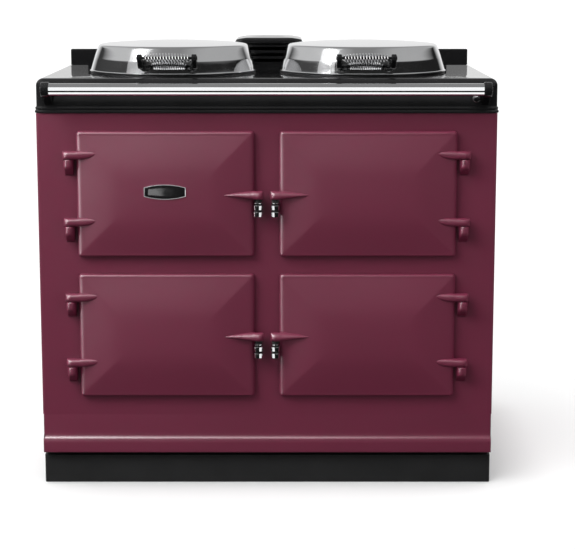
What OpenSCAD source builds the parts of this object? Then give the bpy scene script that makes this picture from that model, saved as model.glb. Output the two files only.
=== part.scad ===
// Cast iron range cooker with four doors, two lidded hotplates and a towel rail.
// Millimetres. X to the right, Y to the back, Z up. The origin is on the floor, in the middle of the
// footprint, so the doors face -Y.

/* [Body] */
// Width across the enamelled sides
body_w = 987; // [960:1:1080]
// Depth from the face of the front panel to the back of the top plate
body_d = 640; // [620:1:720]
// Height of the plinth
plinth_h = 62; // [45:1:90]
// How far the plinth is set in from the body's sides
plinth_inset = 2; // [1:0.5:8]
// Thickness of the plinth's sheet
plinth_t = 4; // [2:0.5:6]
// Height of the shadow gap between plinth and skirt
shadow_gap = 9; // [6:0.5:15]
// Height of the skirt moulding
skirt_h = 84; // [70:1:110]
// How far the foot of the skirt stands out from the front panel
skirt_out = 12; // [6:0.5:18]
// Height of the upright band at the foot of the skirt
skirt_band_h = 28; // [20:1:40]
// Height of the cast front panel
front_h = 663; // [655:1:720]
// Thickness of the cast front panel
front_t = 12; // [8:0.5:16]
// Thickness of the side panels
side_t = 6; // [3:0.5:10]
// Thickness of the base plate
base_t = 14; // [8:0.5:20]
// How far the back panel is set in from the back of the top plate
back_recess = 12; // [11:0.5:30]

/* [Openings and doors] */
// Clear width of each oven opening
opening_w = 350; // [330:1:356]
// Clear height of each oven opening
opening_h = 241.5; // [220:0.5:248]
// How far a door laps over the panel round its opening
door_lap = 15; // [13:0.5:17]
// Gap between the left and right doors
door_gap_x = 54.4; // [50:0.2:70]
// Gap between the upper and lower doors
door_gap_z = 38.3; // [34:0.1:44]
// Distance from the top of the front panel down to the upper doors
door_drop = 37.8; // [30:0.1:50]
// Running gap between a closed door and the front panel
door_standoff = 1; // [0.6:0.1:2]
// Thickness of a door at its rim
door_rim = 14; // [12:0.5:18]
// Width of the flat rim round a door
rim_w = 6.5; // [4:0.5:10]
// Width of the sloping bevel inside the rim
bevel_w = 78; // [60:1:90]
// Rise of the bevel
bevel_rise = 11; // [6:0.5:14]
// Rise of the crowned middle above the bevel
crown_rise = 5; // [2:0.5:8]
// Depth of the hollow in the back of a door
pocket_d = 9; // [5:0.5:10]
// Clearance between an opening and the plug of its door liner
plug_gap = 12; // [10:0.5:16]
// How far the door liner reaches into the opening
plug_d = 39; // [30:1:45]
// Wall of the door liner
liner_t = 2.5; // [1.5:0.5:4]
// Width of the rope seal
seal_w = 8; // [6:0.5:8]
// Depth of the groove that holds the rope seal
seal_groove = 4; // [3:0.5:6]

/* [Door hinges and latches] */
// Distance from a door's edge out to its hinge axis
hinge_side = 16.8; // [15:0.1:22]
// Distance from the front panel out to the hinge axis
hinge_out = 16; // [15.5:0.5:19]
// Radius of the hinge lugs round the pin
lug_r = 12; // [10:0.5:13]
// Height of a hinge lug
lug_h = 18; // [14:0.5:24]
// Height of the upper lug above the door's centre
lug_up = 85; // [70:1:100]
// Depth of the lower lug below the door's centre
lug_down = 59.5; // [50:0.5:75]
// How far a lug runs in over the door
lug_reach = 44; // [30:1:60]
// Diameter of the hinge pins
pin_d = 8; // [6:0.5:10]
// Running clearance round a hinge pin
pin_play = 0.06; // [0.03:0.01:0.09]
// Height of a hinge bracket
bracket_h = 24; // [20:1:32]
// Radius of a hinge bracket round the pin
bracket_r = 11; // [9:0.5:12]
// Gap between a lug and the bracket below it
lug_gap = 0.4; // [0.3:0.1:1]
// Height of the latch arm
arm_h = 18; // [14:0.5:24]
// How far the latch arm runs in over the door
arm_reach = 70; // [50:1:80]
// Gap from the end of a latch arm to the cooker's centre line
arm_end_gap = 9; // [7:0.5:12]
// How far a latch arm stands out from the front panel
arm_proud = 34; // [32:0.5:40]
// Radius of the boss at the end of a latch arm
boss_r = 10.5; // [9:0.5:12]
// Length of a latch handle
handle_l = 37; // [30:1:48]
// Radius of a latch handle
handle_r = 11; // [9:0.5:11]
// Radius of a latch handle's stem
stem_r = 4; // [3:0.5:5]

/* [Badge place] */
// Width of the bare badge
badge_w = 90; // [60:1:120]
// Height of the badge at its middle
badge_h = 33; // [24:1:44]
// Height of the badge's flat ends
badge_end_h = 20; // [14:1:22]
// Height of the badge above the door's centre
badge_up = 8; // [0:1:20]
// Width of the badge's rim
badge_rim_w = 3; // [2:0.5:4]
// Depth of the seat cut for the badge
badge_seat = 1.4; // [0.8:0.1:2]
// How far the badge's rim stands out of its seat
badge_t = 3; // [2:0.1:5]

/* [Top plate] */
// Height of the top plate's apron
apron_h = 74; // [66:1:90]
// How far the lip at the foot of the apron stands out
lip_out = 4; // [2:0.5:6]
// How far the apron's face stands out
apron_out = 0.5; // [0.2:0.1:1.5]
// Radius of the apron's top edge
apron_r = 16; // [10:0.5:20]
// Radius of the top plate's front corners in plan
corner_r = 18; // [17:0.5:24]
// Thickness of the top plate
plate_t = 10; // [8:0.5:14]
// Thickness of the apron's wall
apron_t = 12; // [9:0.5:16]
// Distance from the front lip to the face of the rear ledge
ledge_back = 480; // [476:1:500]
// Height of the rear ledge at its front
ledge_h = 39.5; // [30:0.5:50]
// Fall of the rear ledge's top towards the back
ledge_fall = 16; // [13:0.5:20]
// How far the rear ledge's ends are set in from the body's sides
ledge_inset = 13.5; // [10:0.5:30]
// Distance from the front lip to the face of the vent cowl
cowl_back = 414; // [405:1:425]
// Width of the vent cowl's fins
cowl_w = 140; // [120:1:150]
// Depth of the flue that rises behind the ovens into the cowl
flue_d = 48; // [40:1:56]
// Height of the vent cowl up to its cap
cowl_h = 54; // [48:0.5:60]
// Width of the cowl's cap
cap_w = 160; // [150:1:176]
// Thickness of the cap at its edge
cap_t = 11; // [8:0.5:14]
// Rise of the crowned cap
cap_rise = 7; // [4:0.5:10]

/* [Towel rail] */
// How far the front of the towel rail stands out from the front panel
rail_out = 58; // [52:0.5:64]
// Diameter of the towel rail
rail_d = 26; // [22:0.5:28]
// How far the rail's brackets are set in from the body's sides
rail_inset = 19.5; // [18:0.5:40]
// Drop from the top plate's surface to the rail's centre
rail_drop = 20; // [19:0.5:24]
// Wall of a rail bracket round the rail's end
rail_boss_t = 3; // [2:0.5:4]
// Length of each rail bracket along the rail
rail_boss_l = 17; // [14:0.5:17]
// Depth of the socket that holds the rail's end
rail_socket = 10; // [6:0.5:12]
// Radius of the chrome stud on the apron
stud_r = 9.5; // [6:0.5:11]
// Distance of the chrome stud from the body's side
stud_inset = 47.5; // [46.5:0.5:70]
// Depth of the chrome stud's centre below the top plate's surface
stud_drop = 41; // [38:0.5:46]

/* [Hotplates and lids] */
// Distance of each hotplate from the centre line
lid_x = 213.8; // [208:0.2:230]
// Distance from the front lip to a hotplate's centre
lid_back = 236; // [230:1:240]
// Radius of a hotplate
hotplate_r = 181; // [170:0.5:182]
// Depth of a hotplate's casting
hotplate_t = 42; // [30:1:46]
// Radius of a lid at its rim
lid_r = 188.5; // [186:0.5:192]
// Height of the lid's rim above the top plate
lid_lift = 5; // [4:0.5:8]
// Radius of a lid at the fold in its side
fold_r = 180; // [178:0.5:184]
// Height of the fold above the top plate
fold_z = 32.5; // [28:0.5:36]
// Radius of a lid at its shoulder
shoulder_r = 168; // [160:0.5:172]
// Height of the shoulder above the top plate
shoulder_z = 63.5; // [56:0.5:66]
// Height of the lid's crown above its shoulder
lid_crown = 7.5; // [3:0.5:10]
// Thickness of the lid's pressing
lid_t = 2; // [1.2:0.1:3]
// Distance from the lid's centre to the handle's axis
grip_back = 209; // [206:0.5:212]
// Height of the handle's axis above the top plate
grip_z = 42; // [38:0.5:46]
// Length of the handle over its posts
grip_l = 128; // [110:1:150]
// Width of a handle post
post_w = 11; // [8:0.5:14]
// Number of turns in a handle's coil
coil_turns = 15; // [12:1:18]
// Thickness of the coil's wire
wire_d = 3.6; // [3:0.1:4.6]
// Radius of the coil at its ends, to the middle of its wire
coil_r = 5.8; // [5.5:0.1:6.4]
// How much wider the coil's radius is in its middle
coil_belly = 3.2; // [1:0.1:3.4]
// Diameter of the bar inside the coil
bar_d = 6; // [4:0.5:6.5]
// Distance from the lid's centre to its hinge axis
lid_hinge_back = 219; // [216:0.5:222]
// Height of the lid's hinge axis above the top plate
lid_hinge_z = 26; // [24:0.5:30]
// Radius of the lid hinge's knuckles
knuckle_r = 9; // [7:0.5:10]
// Diameter of the lid's hinge pin
lid_pin_d = 10; // [8:0.5:12]

/* [Inside] */
// Depth of an oven behind the front panel
oven_d = 470; // [420:1:480]
// Wall of an oven casting
oven_t = 6; // [4:0.5:8]
// Depth of the control compartment
control_d = 130; // [110:1:160]
// Depth of a shelf runner
runner_w = 6; // [4:0.5:10]
// Height of the lowest shelf runner above the oven floor
runner_z = 30; // [20:1:40]
// Distance between shelf runners
runner_step = 62; // [50:1:70]
// Diameter of the shelf frame's wire
shelf_d = 7; // [5:0.5:9]
// Radius of a control knob
knob_r = 20; // [14:0.5:26]
// Distance between the two control knobs
knob_gap = 130; // [90:1:160]

/* [Hidden] */
$fn = 64;

burgundy = [0.36, 0.13, 0.2];
black_enamel = [0.05, 0.05, 0.06];
satin_black = [0.12, 0.12, 0.13];
chrome = [0.8, 0.81, 0.83];
steel = [0.62, 0.63, 0.65];
cast_grey = [0.25, 0.25, 0.26];
rope = [0.72, 0.7, 0.64];
wool = [0.85, 0.8, 0.6];

seat = 0.2;   // small gap between pieces that seat on each other
slack = 0.3;  // clearance round pieces that drop into a recess
bite = 1;     // overlap that joins two shapes of one casting

// Heights of the stacked castings
z_base = plinth_h;
z_skirt = z_base + shadow_gap;
z_front = z_skirt + skirt_h;
z_apron = z_front + front_h;
z_plate = z_apron + apron_h;

// Depths: the front of the rail brackets and the back of the body are as far from the middle
brackets_out = rail_out + rail_boss_t;
y_front = brackets_out - (body_d + brackets_out) / 2;
y_back = y_front + body_d;
y_lip = y_front - lip_out;
y_inner = y_front + front_t;

// Doors
door_w = opening_w + 2 * door_lap;
door_h = opening_h + 2 * door_lap;
door_x = (door_w + door_gap_x) / 2;
door_z_top = z_apron - door_drop - door_h / 2;
door_z_low = door_z_top - door_h - door_gap_z;
door_top_f = door_standoff + door_rim + bevel_rise + crown_rise;
plug_w = opening_w - 2 * plug_gap;
plug_h = opening_h - 2 * plug_gap;
plug_r = 12;
hinge_x = door_w / 2 + hinge_side;
boss_x = door_w / 2 + door_gap_x / 2 - arm_end_gap - boss_r + 1.2;
boss_y = boss_r - arm_proud;
seal_in = 3;

// Hotplates and lids
lid_y = y_lip + lid_back;
ledge_y = y_lip + ledge_back;
cowl_y = y_lip + cowl_back;
rim_flange_r = hotplate_r + 5.5;
hotplate_top = 2.7;

// Towel rail
rail_y = y_front - rail_out + rail_d / 2;
rail_z = z_plate - rail_drop;
rail_l = body_w - 2 * (rail_inset + rail_boss_l);

// ---------------------------------------------------------------- helpers

// Extrude a plan (x, y) between two heights
module along_z(z0, z1) {
    translate([0, 0, z0]) linear_extrude(z1 - z0) children();
}

// Extrude an elevation (x, z) between two depths
module along_y(y0, y1) {
    translate([0, y1, 0]) rotate([90, 0, 0]) linear_extrude(y1 - y0) children();
}

// Extrude a side view (y, z) between two places along x
module along_x(x0, x1) {
    translate([x0, 0, 0]) rotate([90, 0, 90]) linear_extrude(x1 - x0) children();
}

// Rectangle with round corners, centred
module round_rect(w, h, r) {
    square([w - 2 * r, h], center = true);
    square([w, h - 2 * r], center = true);
    for (sx = [-1, 1], sy = [-1, 1]) translate([sx * (w / 2 - r), sy * (h / 2 - r)]) circle(r);
}

// Box between two corners
module box(a, b) {
    translate(a) cube(b - a);
}

// Place children, modelled with the hinge towards +x, at one door
module at_door(side, top) {
    translate([side * door_x, y_front, top ? door_z_top : door_z_low])
        mirror([side < 0 ? 1 : 0, 0, 0]) children();
}

module at_every_door() {
    for (side = [-1, 1], top = [false, true]) at_door(side, top) children();
}

// Place children at one lid, with z from the top plate's surface
module at_lid(side) {
    translate([side * lid_x, lid_y, z_plate]) children();
}

// ---------------------------------------------------------------- base

plinth_w = body_w - 2 * plinth_inset;
plinth_y0 = y_front + plinth_inset;
plinth_y1 = y_back - back_recess;
plinth_mid = (plinth_y0 + plinth_y1) / 2;
plinth_len = plinth_y1 - plinth_y0;
plinth_flange = 34;
foot_inset = 60;
foot_r = 23;
foot_pad = 10;
foot_stud_r = 6;
foot_into_base = 8;

module at_every_foot() {
    for (sx = [-1, 1], sy = [-1, 1])
        translate([sx * (plinth_w / 2 - foot_inset), plinth_mid + sy * (plinth_len / 2 - foot_inset), 0])
            children();
}

module plinth() {
    color(satin_black) translate([0, plinth_mid, 0]) difference() {
        along_z(0, plinth_h) round_rect(plinth_w, plinth_len, 5);
        along_z(-bite, plinth_h - plinth_t)
            square([plinth_w - 2 * plinth_t, plinth_len - 2 * plinth_t], center = true);
        along_z(0, plinth_h + bite)
            square([plinth_w - 2 * plinth_flange, plinth_len - 2 * plinth_flange], center = true);
    }
}

module levelling_feet() {
    color(steel) at_every_foot() {
        cylinder(h = foot_pad, r = foot_r);
        cylinder(h = z_base + foot_into_base, r = foot_stud_r);
    }
}

base_w = body_w - 2 * side_t - 2 * slack;
base_y0 = y_inner + seat;
base_y1 = y_back - back_recess - 2 * seat;

module base_plate() {
    color(satin_black) difference() {
        box([-base_w / 2, base_y0, z_base], [base_w / 2, base_y1, z_base + base_t]);
        at_every_foot() translate([0, 0, z_base - bite])
            cylinder(h = foot_into_base + seat + bite, r = foot_stud_r + seat / 2);
    }
}

// ---------------------------------------------------------------- casing

// Side view of the skirt: a cove that sweeps out to an upright band with round edges
skirt_edge = 3;
skirt_back = 1;
skirt_ledge_z = z_skirt + skirt_band_h;
skirt_side = plinth_inset;

module skirt_profile() {
    sweep = skirt_out - skirt_edge + skirt_back;
    cove = [
        for (a = [0:10:90])
            [y_front + skirt_back - sweep * (1 - cos(a)), z_front - (skirt_h - skirt_band_h) * sin(a)]
    ];
    polygon(concat(cove, [
        [y_front - skirt_out, skirt_ledge_z - skirt_edge],
        [y_front - skirt_out, z_skirt + skirt_edge],
        [y_front - skirt_out + skirt_edge, z_skirt],
        [y_inner, z_skirt],
        [y_inner, z_front]
    ]));
}

module skirt() {
    color(burgundy) along_x(skirt_side - body_w / 2, body_w / 2 - skirt_side) skirt_profile();
}

module front_panel() {
    edge_r = 5;
    color(burgundy) difference() {
        along_z(z_front, z_apron) {
            translate([0, y_front + front_t / 2]) square([body_w - 2 * edge_r, front_t], center = true);
            translate([0, (y_front + edge_r + y_inner) / 2])
                square([body_w, front_t - edge_r], center = true);
            for (side = [-1, 1]) translate([side * (body_w / 2 - edge_r), y_front + edge_r]) circle(edge_r);
        }
        at_every_door() along_y(-bite, front_t + bite) round_rect(opening_w, opening_h, 15);
    }
}

module side_panels() {
    color(burgundy) for (side = [-1, 1]) mirror([side < 0 ? 1 : 0, 0, 0])
        box([body_w / 2 - side_t, y_inner, z_skirt], [body_w / 2, y_back - 2 * bite, z_apron]);
}

back_t = 2;
back_y1 = y_back - back_recess;
back_y0 = back_y1 - back_t;
gland_inset = 133.5;
gland_x = body_w / 2 - gland_inset;
gland_z = 190;
gland_r = 10;
louvre_w = base_w / 6;
louvre_x = base_w * 0.185;

module back_panel() {
    color(steel) difference() {
        box([-base_w / 2, back_y0, z_base + base_t + seat], [base_w / 2, back_y1, z_apron - seat]);
        translate([gland_x, 0, gland_z]) along_y(back_y0 - bite, back_y1 + bite) circle(gland_r + seat);
        for (z = [330:24:522], side = [-1, 1])
            translate([side * louvre_x, 0, z]) along_y(back_y0 - bite, back_y1 + bite)
                round_rect(louvre_w, 8, 3.9);
    }
}

module cable_gland() {
    bore_r = 5;
    nut_r = 15;
    color(satin_black) translate([gland_x, 0, gland_z]) difference() {
        union() {
            along_y(back_y0 - 12, y_back - 1) circle(gland_r);
            along_y(back_y1 + seat, back_y1 + 6) circle(nut_r, $fn = 6);
            along_y(back_y0 - 5, back_y0 - seat) circle(nut_r, $fn = 6);
        }
        along_y(back_y0 - 13, y_back) circle(bore_r);
    }
}

function oven_outside(wall) = [opening_w + 2 * wall, opening_h + 2 * wall];

// Block of mineral wool with pockets for the ovens, the control box and the flue
wool_gap = 1;

module insulation() {
    color(wool) difference() {
        box([2 - base_w / 2, base_y0 + seat, z_base + base_t + slack],
            [base_w / 2 - 2, back_y0 - 20, z_apron - 6]);
        at_every_door() {
            along_y(0, front_t + oven_d + wool_gap) square(oven_outside(oven_t + wool_gap), center = true);
            along_y(0, front_t + oven_t + wool_gap)
                square(oven_outside(oven_t + flange_w + wool_gap), center = true);
        }
        flue_outline(wool_gap);
    }
}

// ---------------------------------------------------------------- top plate

// Section of the moulded apron. x is measured out from the body's side, y up from the apron's foot.
module apron_section(inside) {
    bead = 1.5;
    polygon([
        [-inside, 0], [lip_out, 0], [lip_out, 5], [lip_out - 2, 6.5], [lip_out - 2, 8],
        [lip_out - 2 + bead / 2, 9], [lip_out - 2 + bead / 2, 12], [apron_out, 14],
        [apron_out, apron_h - apron_r], [apron_out - apron_r, apron_h - apron_r],
        [apron_out - apron_r, apron_h], [-inside, apron_h]
    ]);
    intersection() {
        translate([apron_out - apron_r, apron_h - apron_r]) circle(apron_r);
        translate([apron_out - apron_r, apron_h - apron_r]) square(apron_r);
    }
}

apron_in = corner_r;

module top_plate_solid() {
    flat_w = body_w - 2 * corner_r;
    translate([0, 0, z_apron]) {
        // front edge
        translate([-flat_w / 2, y_front + corner_r, 0]) rotate([90, 0, 90]) linear_extrude(flat_w)
            mirror([1, 0, 0]) translate([corner_r, 0]) apron_section(apron_in);
        for (side = [0, 1]) mirror([side, 0, 0]) {
            // side edge
            translate([flat_w / 2, y_back, 0]) rotate([90, 0, 0])
                linear_extrude(y_back - y_front - corner_r) translate([corner_r, 0]) apron_section(apron_in);
            // front corner
            translate([flat_w / 2, y_front + corner_r, 0]) rotate([0, 0, -90])
                rotate_extrude(angle = 90) translate([corner_r, 0]) apron_section(apron_in);
        }
        box([-flat_w / 2, y_front + corner_r, 0], [flat_w / 2, y_back, apron_h]);
    }
}

module top_plate() {
    color(black_enamel) difference() {
        top_plate_solid();
        box([apron_t - body_w / 2, y_front + apron_t, z_apron - bite],
            [body_w / 2 - apron_t, y_back - apron_t, z_plate - plate_t]);
        for (side = [-1, 1]) at_lid(side) translate([0, 0, -plate_t - bite])
            cylinder(h = plate_t + 2 * bite, r = hotplate_r + 2, $fn = 128);
        flue_outline(wool_gap);
    }
}

// Rear ledge, with a notch that the vent cowl stands in
ledge_w = body_w - 2 * ledge_inset;
ledge_end_r = 8;
ledge_y1 = y_back - 4;

module rear_ledge() {
    color(black_enamel) difference() {
        intersection() {
            along_x(-ledge_w / 2, ledge_w / 2) polygon([
                [ledge_y, z_plate], [ledge_y, z_plate + ledge_h - 3], [ledge_y + 3, z_plate + ledge_h],
                [ledge_y1 - 5, z_plate + ledge_h - ledge_fall],
                [ledge_y1, z_plate + ledge_h - ledge_fall - 5], [ledge_y1, z_plate]
            ]);
            along_y(ledge_y - bite, ledge_y1 + bite) {
                translate([0, z_plate + (ledge_h - ledge_end_r) / 2])
                    square([ledge_w, ledge_h - ledge_end_r], center = true);
                translate([0, z_plate + ledge_h / 2])
                    square([ledge_w - 2 * ledge_end_r, ledge_h], center = true);
                for (side = [-1, 1])
                    translate([side * (ledge_w / 2 - ledge_end_r), z_plate + ledge_h - ledge_end_r])
                        circle(ledge_end_r);
            }
        }
        box([6 - ledge_w / 2, ledge_y + 6, z_plate - bite],
            [ledge_w / 2 - 6, ledge_y1 - 6, z_plate + ledge_h - ledge_fall - 8]);
        box([-cowl_w / 2 - 2, ledge_y - bite, z_plate - bite],
            [cowl_w / 2 + 2, cowl_y + cowl_d + 2, z_plate + ledge_h + bite]);
    }
}

// ---------------------------------------------------------------- vent and flue

flue_gap = 4;
flue_y0 = y_inner + oven_d + flue_gap;
flue_y1 = flue_y0 + flue_d;
cowl_wall = 4;
cowl_core_inset = 8;
cowl_d = flue_y1 + flue_gap + cowl_wall + cowl_core_inset - cowl_y;
cowl_mid = cowl_y + cowl_d / 2;
fin_t = 5;
fin_step = 14;
fin_z = 5;

module cowl_slots() {
    for (i = [0:2])
        box([-cowl_w / 2 + 22, cowl_y - bite, z_plate + fin_z + fin_t + 1 + i * fin_step],
            [cowl_w / 2 - 22, cowl_y + cowl_core_inset + cowl_wall + bite,
                z_plate + fin_z - 1 + (i + 1) * fin_step]);
}

module vent_cowl() {
    core_w = cowl_w - 2 * cowl_core_inset;
    core_d = cowl_d - 2 * cowl_core_inset;
    color(black_enamel) difference() {
        translate([0, cowl_mid, z_plate]) {
            along_z(seat, cowl_h) round_rect(core_w, core_d, 10);
            for (i = [0:3]) along_z(fin_z + i * fin_step - (i == 0 ? fin_z - seat : 0),
                    min(fin_z + i * fin_step + fin_t, cowl_h))
                round_rect(cowl_w, cowl_d, 14);
        }
        translate([0, cowl_mid, z_plate]) along_z(-bite, cowl_h + bite)
            square([core_w - 2 * cowl_wall, core_d - 2 * cowl_wall], center = true);
        cowl_slots();
    }
}

// Cap: a round-cornered slab whose ends turn down and whose top is crowned from side to side
module vent_cap() {
    end = 8;
    half = cap_w / 2;
    crown = [for (i = [-6:6]) let (u = i / 6) [u * (half - end), cap_t + cap_rise * (1 - u * u)]];
    color(black_enamel) translate([0, cowl_mid, z_plate + cowl_h + seat]) difference() {
        intersection() {
            along_z(0, cap_t + cap_rise + bite) round_rect(cap_w, cowl_d + 8, 20);
            along_y(-cowl_d, cowl_d) polygon(concat(
                [[half, 0], [-half, 0], [-half, 3], [-half + end / 3, cap_t * 0.7]],
                crown, [[half - end / 3, cap_t * 0.7], [half, 3]]));
        }
        along_z(-bite, 4) square([cap_w - 44, cowl_d - 36], center = true);
    }
}

// Square flue: a riser up to the cowl, with a branch to the back of each oven
flue_w = 64;
flue_sheet = 1.5;
branch_h = 40;
branch_d = 30;
branch_drop = 30;

module flue_run(grow) {
    low_z = door_z_low + opening_h / 2 - branch_drop;
    top_z = door_z_top + opening_h / 2 - branch_drop;
    box([-flue_w / 2 - grow, flue_y0 - grow, low_z - branch_h / 2 - grow],
        [flue_w / 2 + grow, flue_y1 + grow, z_plate - 2 + grow]);
    for (z = [low_z, top_z], side = [-1, 1]) if (side > 0 || z == low_z)
        mirror([side < 0 ? 1 : 0, 0, 0])
            box([0, flue_y0 - grow, z - branch_h / 2 - grow],
                [door_x + 25 + grow, flue_y0 + branch_d + grow, z + branch_h / 2 + grow]);
}

module flue_outline(grow) {
    flue_run(grow);
    flue_spigots(grow);
}

module flue_spigots(grow) {
    spigot_r = 14;
    for (side = [-1, 1], top = [false, true]) if (side > 0 || !top)
        translate([side * door_x, 0, (top ? door_z_top : door_z_low) + opening_h / 2 - branch_drop])
            along_y(y_front + front_t + oven_d + seat, flue_y0 + bite) circle(spigot_r + grow);
}

module flue_duct() {
    color(steel) difference() {
        flue_outline(0);
        flue_run(-flue_sheet);
        box([flue_sheet - flue_w / 2, flue_y0 + flue_sheet, z_plate - 20],
            [flue_w / 2 - flue_sheet, flue_y1 - flue_sheet, z_plate]);
    }
}

// ---------------------------------------------------------------- hotplates

module hotplates() {
    color(cast_grey) for (side = [-1, 1]) at_lid(side) {
        translate([0, 0, hotplate_top - hotplate_t]) cylinder(h = hotplate_t, r = hotplate_r, $fn = 128);
        translate([0, 0, seat]) cylinder(h = hotplate_top - seat, r = rim_flange_r, $fn = 128);
    }
}

element_r = 4;

module heating_elements() {
    z = hotplate_top - hotplate_t - element_r - seat;
    color(steel) for (side = [-1, 1]) at_lid(side) translate([0, 0, z]) {
        for (part = [0.33, 0.58, 0.83])
            rotate_extrude($fn = 96) translate([hotplate_r * part, 0]) circle(element_r, $fn = 24);
        for (a = [0, 120, 240]) rotate([0, 0, a])
            box([hotplate_r * 0.28, -element_r, -element_r - 3],
                [hotplate_r * 0.88, element_r, -element_r + bite]);
    }
}

// ---------------------------------------------------------------- ovens

flange_w = 9;

module oven_shell(depth, wall) {
    inner_r = 10;
    difference() {
        union() {
            along_y(front_t, front_t + depth)
                round_rect(opening_w + 2 * wall, opening_h + 2 * wall, inner_r + wall);
            along_y(front_t, front_t + wall)
                round_rect(opening_w + 2 * (wall + flange_w), opening_h + 2 * (wall + flange_w), 15);
        }
        along_y(front_t - bite, front_t + depth - wall) round_rect(opening_w, opening_h, inner_r);
    }
}

// Cast oven with three pairs of shelf runners and a vent hole high in its back
module oven() {
    vent_r = 12;
    difference() {
        union() {
            oven_shell(oven_d, oven_t);
            for (side = [-1, 1], i = [0:2]) mirror([side < 0 ? 1 : 0, 0, 0])
                translate([opening_w / 2, 0, runner_z + i * runner_step - opening_h / 2])
                    box([-runner_w, front_t + 20, -5], [bite, front_t + oven_d - 20, 0]);
        }
        translate([0, 0, opening_h / 2 - branch_drop])
            along_y(front_t + oven_d - 2 * oven_t, front_t + oven_d + bite) circle(vent_r);
    }
}

module roasting_oven() {
    color(cast_grey) at_door(1, true) oven();
}

module baking_oven() {
    color(cast_grey) at_door(1, false) oven();
}

module simmering_oven() {
    color(cast_grey) at_door(-1, false) oven();
}

// Grid shelf on the lowest runners
module grid_shelf() {
    w = opening_w - 6;
    y0 = front_t + 32;
    y1 = front_t + oven_d - oven_t - 12;
    z = runner_z - opening_h / 2 + seat + shelf_d / 2;
    bars = 9;
    bar_r = 2.5;
    for (side = [-1, 1]) translate([side * (w - shelf_d) / 2, 0, z]) along_y(y0, y1) circle(shelf_d / 2);
    for (y = [y0 + shelf_d / 2, y1 - shelf_d / 2])
        along_x(-(w - shelf_d) / 2, (w - shelf_d) / 2) translate([y, z]) circle(shelf_d / 2 - 0.4);
    for (i = [1:bars])
        translate([(w - shelf_d) * (i / (bars + 1) - 0.5), 0, z]) along_y(y0 + 2, y1 - 2) circle(bar_r);
}

module oven_shelves() {
    color(steel) {
        at_door(1, true) grid_shelf();
        at_door(1, false) grid_shelf();
        at_door(-1, false) grid_shelf();
    }
}

// ---------------------------------------------------------------- controls

control_t = 2;
panel_y = front_t + 82;
panel_t = 3;
knob_l = 22;
knob_shaft_r = 4;
knob_z = -8;

module control_box() {
    color(steel) at_door(-1, true) oven_shell(control_d, control_t);
}

module control_panel() {
    color(satin_black) at_door(-1, true) difference() {
        along_y(panel_y, panel_y + panel_t) round_rect(opening_w - 2 * slack, opening_h - 2 * slack, 15);
        for (side = [-1, 1]) translate([side * knob_gap / 2, 0, knob_z])
            along_y(panel_y - bite, panel_y + panel_t + bite) circle(knob_shaft_r + pin_play);
    }
}

// Control knob with a pointer ridge and a shaft through the panel
module knob() {
    back = panel_y - 2;
    along_y(back - knob_l, back) circle(knob_r);
    along_y(back - knob_l - 3, back - knob_l + bite) translate([0, knob_r / 2 - 2])
        square([5, knob_r - 2], center = true);
    along_y(back - bite, panel_y + panel_t + 15) circle(knob_shaft_r);
}

module knob_left() {
    color(satin_black) at_door(-1, true) translate([knob_gap / 2, 0, knob_z]) knob();
}

module knob_right() {
    color(satin_black) at_door(-1, true) translate([-knob_gap / 2, 0, knob_z]) knob();
}

// ---------------------------------------------------------------- doors

// Height of a door's face above the front panel, at a distance in from the door's edge
function face_f(inset) =
    door_standoff + door_rim + bevel_rise * min(max((inset - rim_w) / bevel_w, 0), 1);

// Half of a door's section from its edge to its middle: [distance from the middle, height]
function half_section(span) = concat(
    [[span / 2, door_standoff], [span / 2, door_standoff + door_rim - 3],
        [span / 2 - 3, door_standoff + door_rim], [span / 2 - rim_w, door_standoff + door_rim]],
    [for (i = [0:7]) let (half = span / 2 - rim_w - bevel_w, u = 1 - i / 8)
        [half * u, face_f(span) + crown_rise * (1 - u * u)]]
);

function full_section(span) = concat(
    half_section(span),
    [[0, door_top_f]],
    [for (i = [len(half_section(span)) - 1:-1:0])
        [-half_section(span)[i][0], half_section(span)[i][1]]]
);

// Hipped and crowned slab: where an upright and a level section meet, they mitre at the corners
module door_slab() {
    intersection() {
        along_z(-door_h / 2, door_h / 2)
            polygon([for (p = full_section(door_w)) [p[0], -p[1]]]);
        along_x(-door_w / 2, door_w / 2)
            polygon([for (p = full_section(door_h)) [-p[1], p[0]]]);
    }
}

// Hinge lug: a bar that runs out of the door's face to a knuckle round the pin
module lug() {
    along_z(-lug_h / 2, lug_h / 2) {
        translate([hinge_x, -hinge_out]) circle(lug_r);
        polygon([
            [hinge_x, -hinge_out - lug_r],
            [hinge_x, -hinge_out + lug_r],
            [door_w / 2 - bite, -hinge_out + lug_r],
            [door_w / 2 - lug_reach, -face_f(0)],
            [door_w / 2 - lug_reach, -face_f(lug_reach)]
        ]);
    }
}

// Latch arm: a ridge that runs from a point on the door's face out to a boss beyond its edge
module latch_arm() {
    along_z(-arm_h / 2, arm_h / 2) {
        translate([-boss_x, boss_y]) circle(boss_r);
        polygon([
            [arm_reach - door_w / 2, -face_f(arm_reach)],
            [-boss_x, -arm_proud],
            [-boss_x, boss_y + boss_r],
            [bite - door_w / 2, boss_y + boss_r],
            [arm_reach - door_w / 2, -face_f(0)]
        ]);
    }
}

module seal_ring(grow) {
    difference() {
        round_rect(opening_w + 2 * (seal_in + seal_w + grow), opening_h + 2 * (seal_in + seal_w + grow), 18);
        round_rect(opening_w + 2 * (seal_in - grow), opening_h + 2 * (seal_in - grow), 14);
    }
}

module badge_outline(grow) {
    w = badge_w + 2 * grow;
    h = badge_h + 2 * grow;
    bow = (badge_h - badge_end_h) / 2;
    arc_r = (badge_w * badge_w / 4 + bow * bow) / (2 * bow) + grow;
    intersection() {
        square([w, h], center = true);
        translate([0, h / 2 - arc_r]) circle(arc_r, $fn = 128);
        translate([0, arc_r - h / 2]) circle(arc_r, $fn = 128);
    }
}

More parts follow.
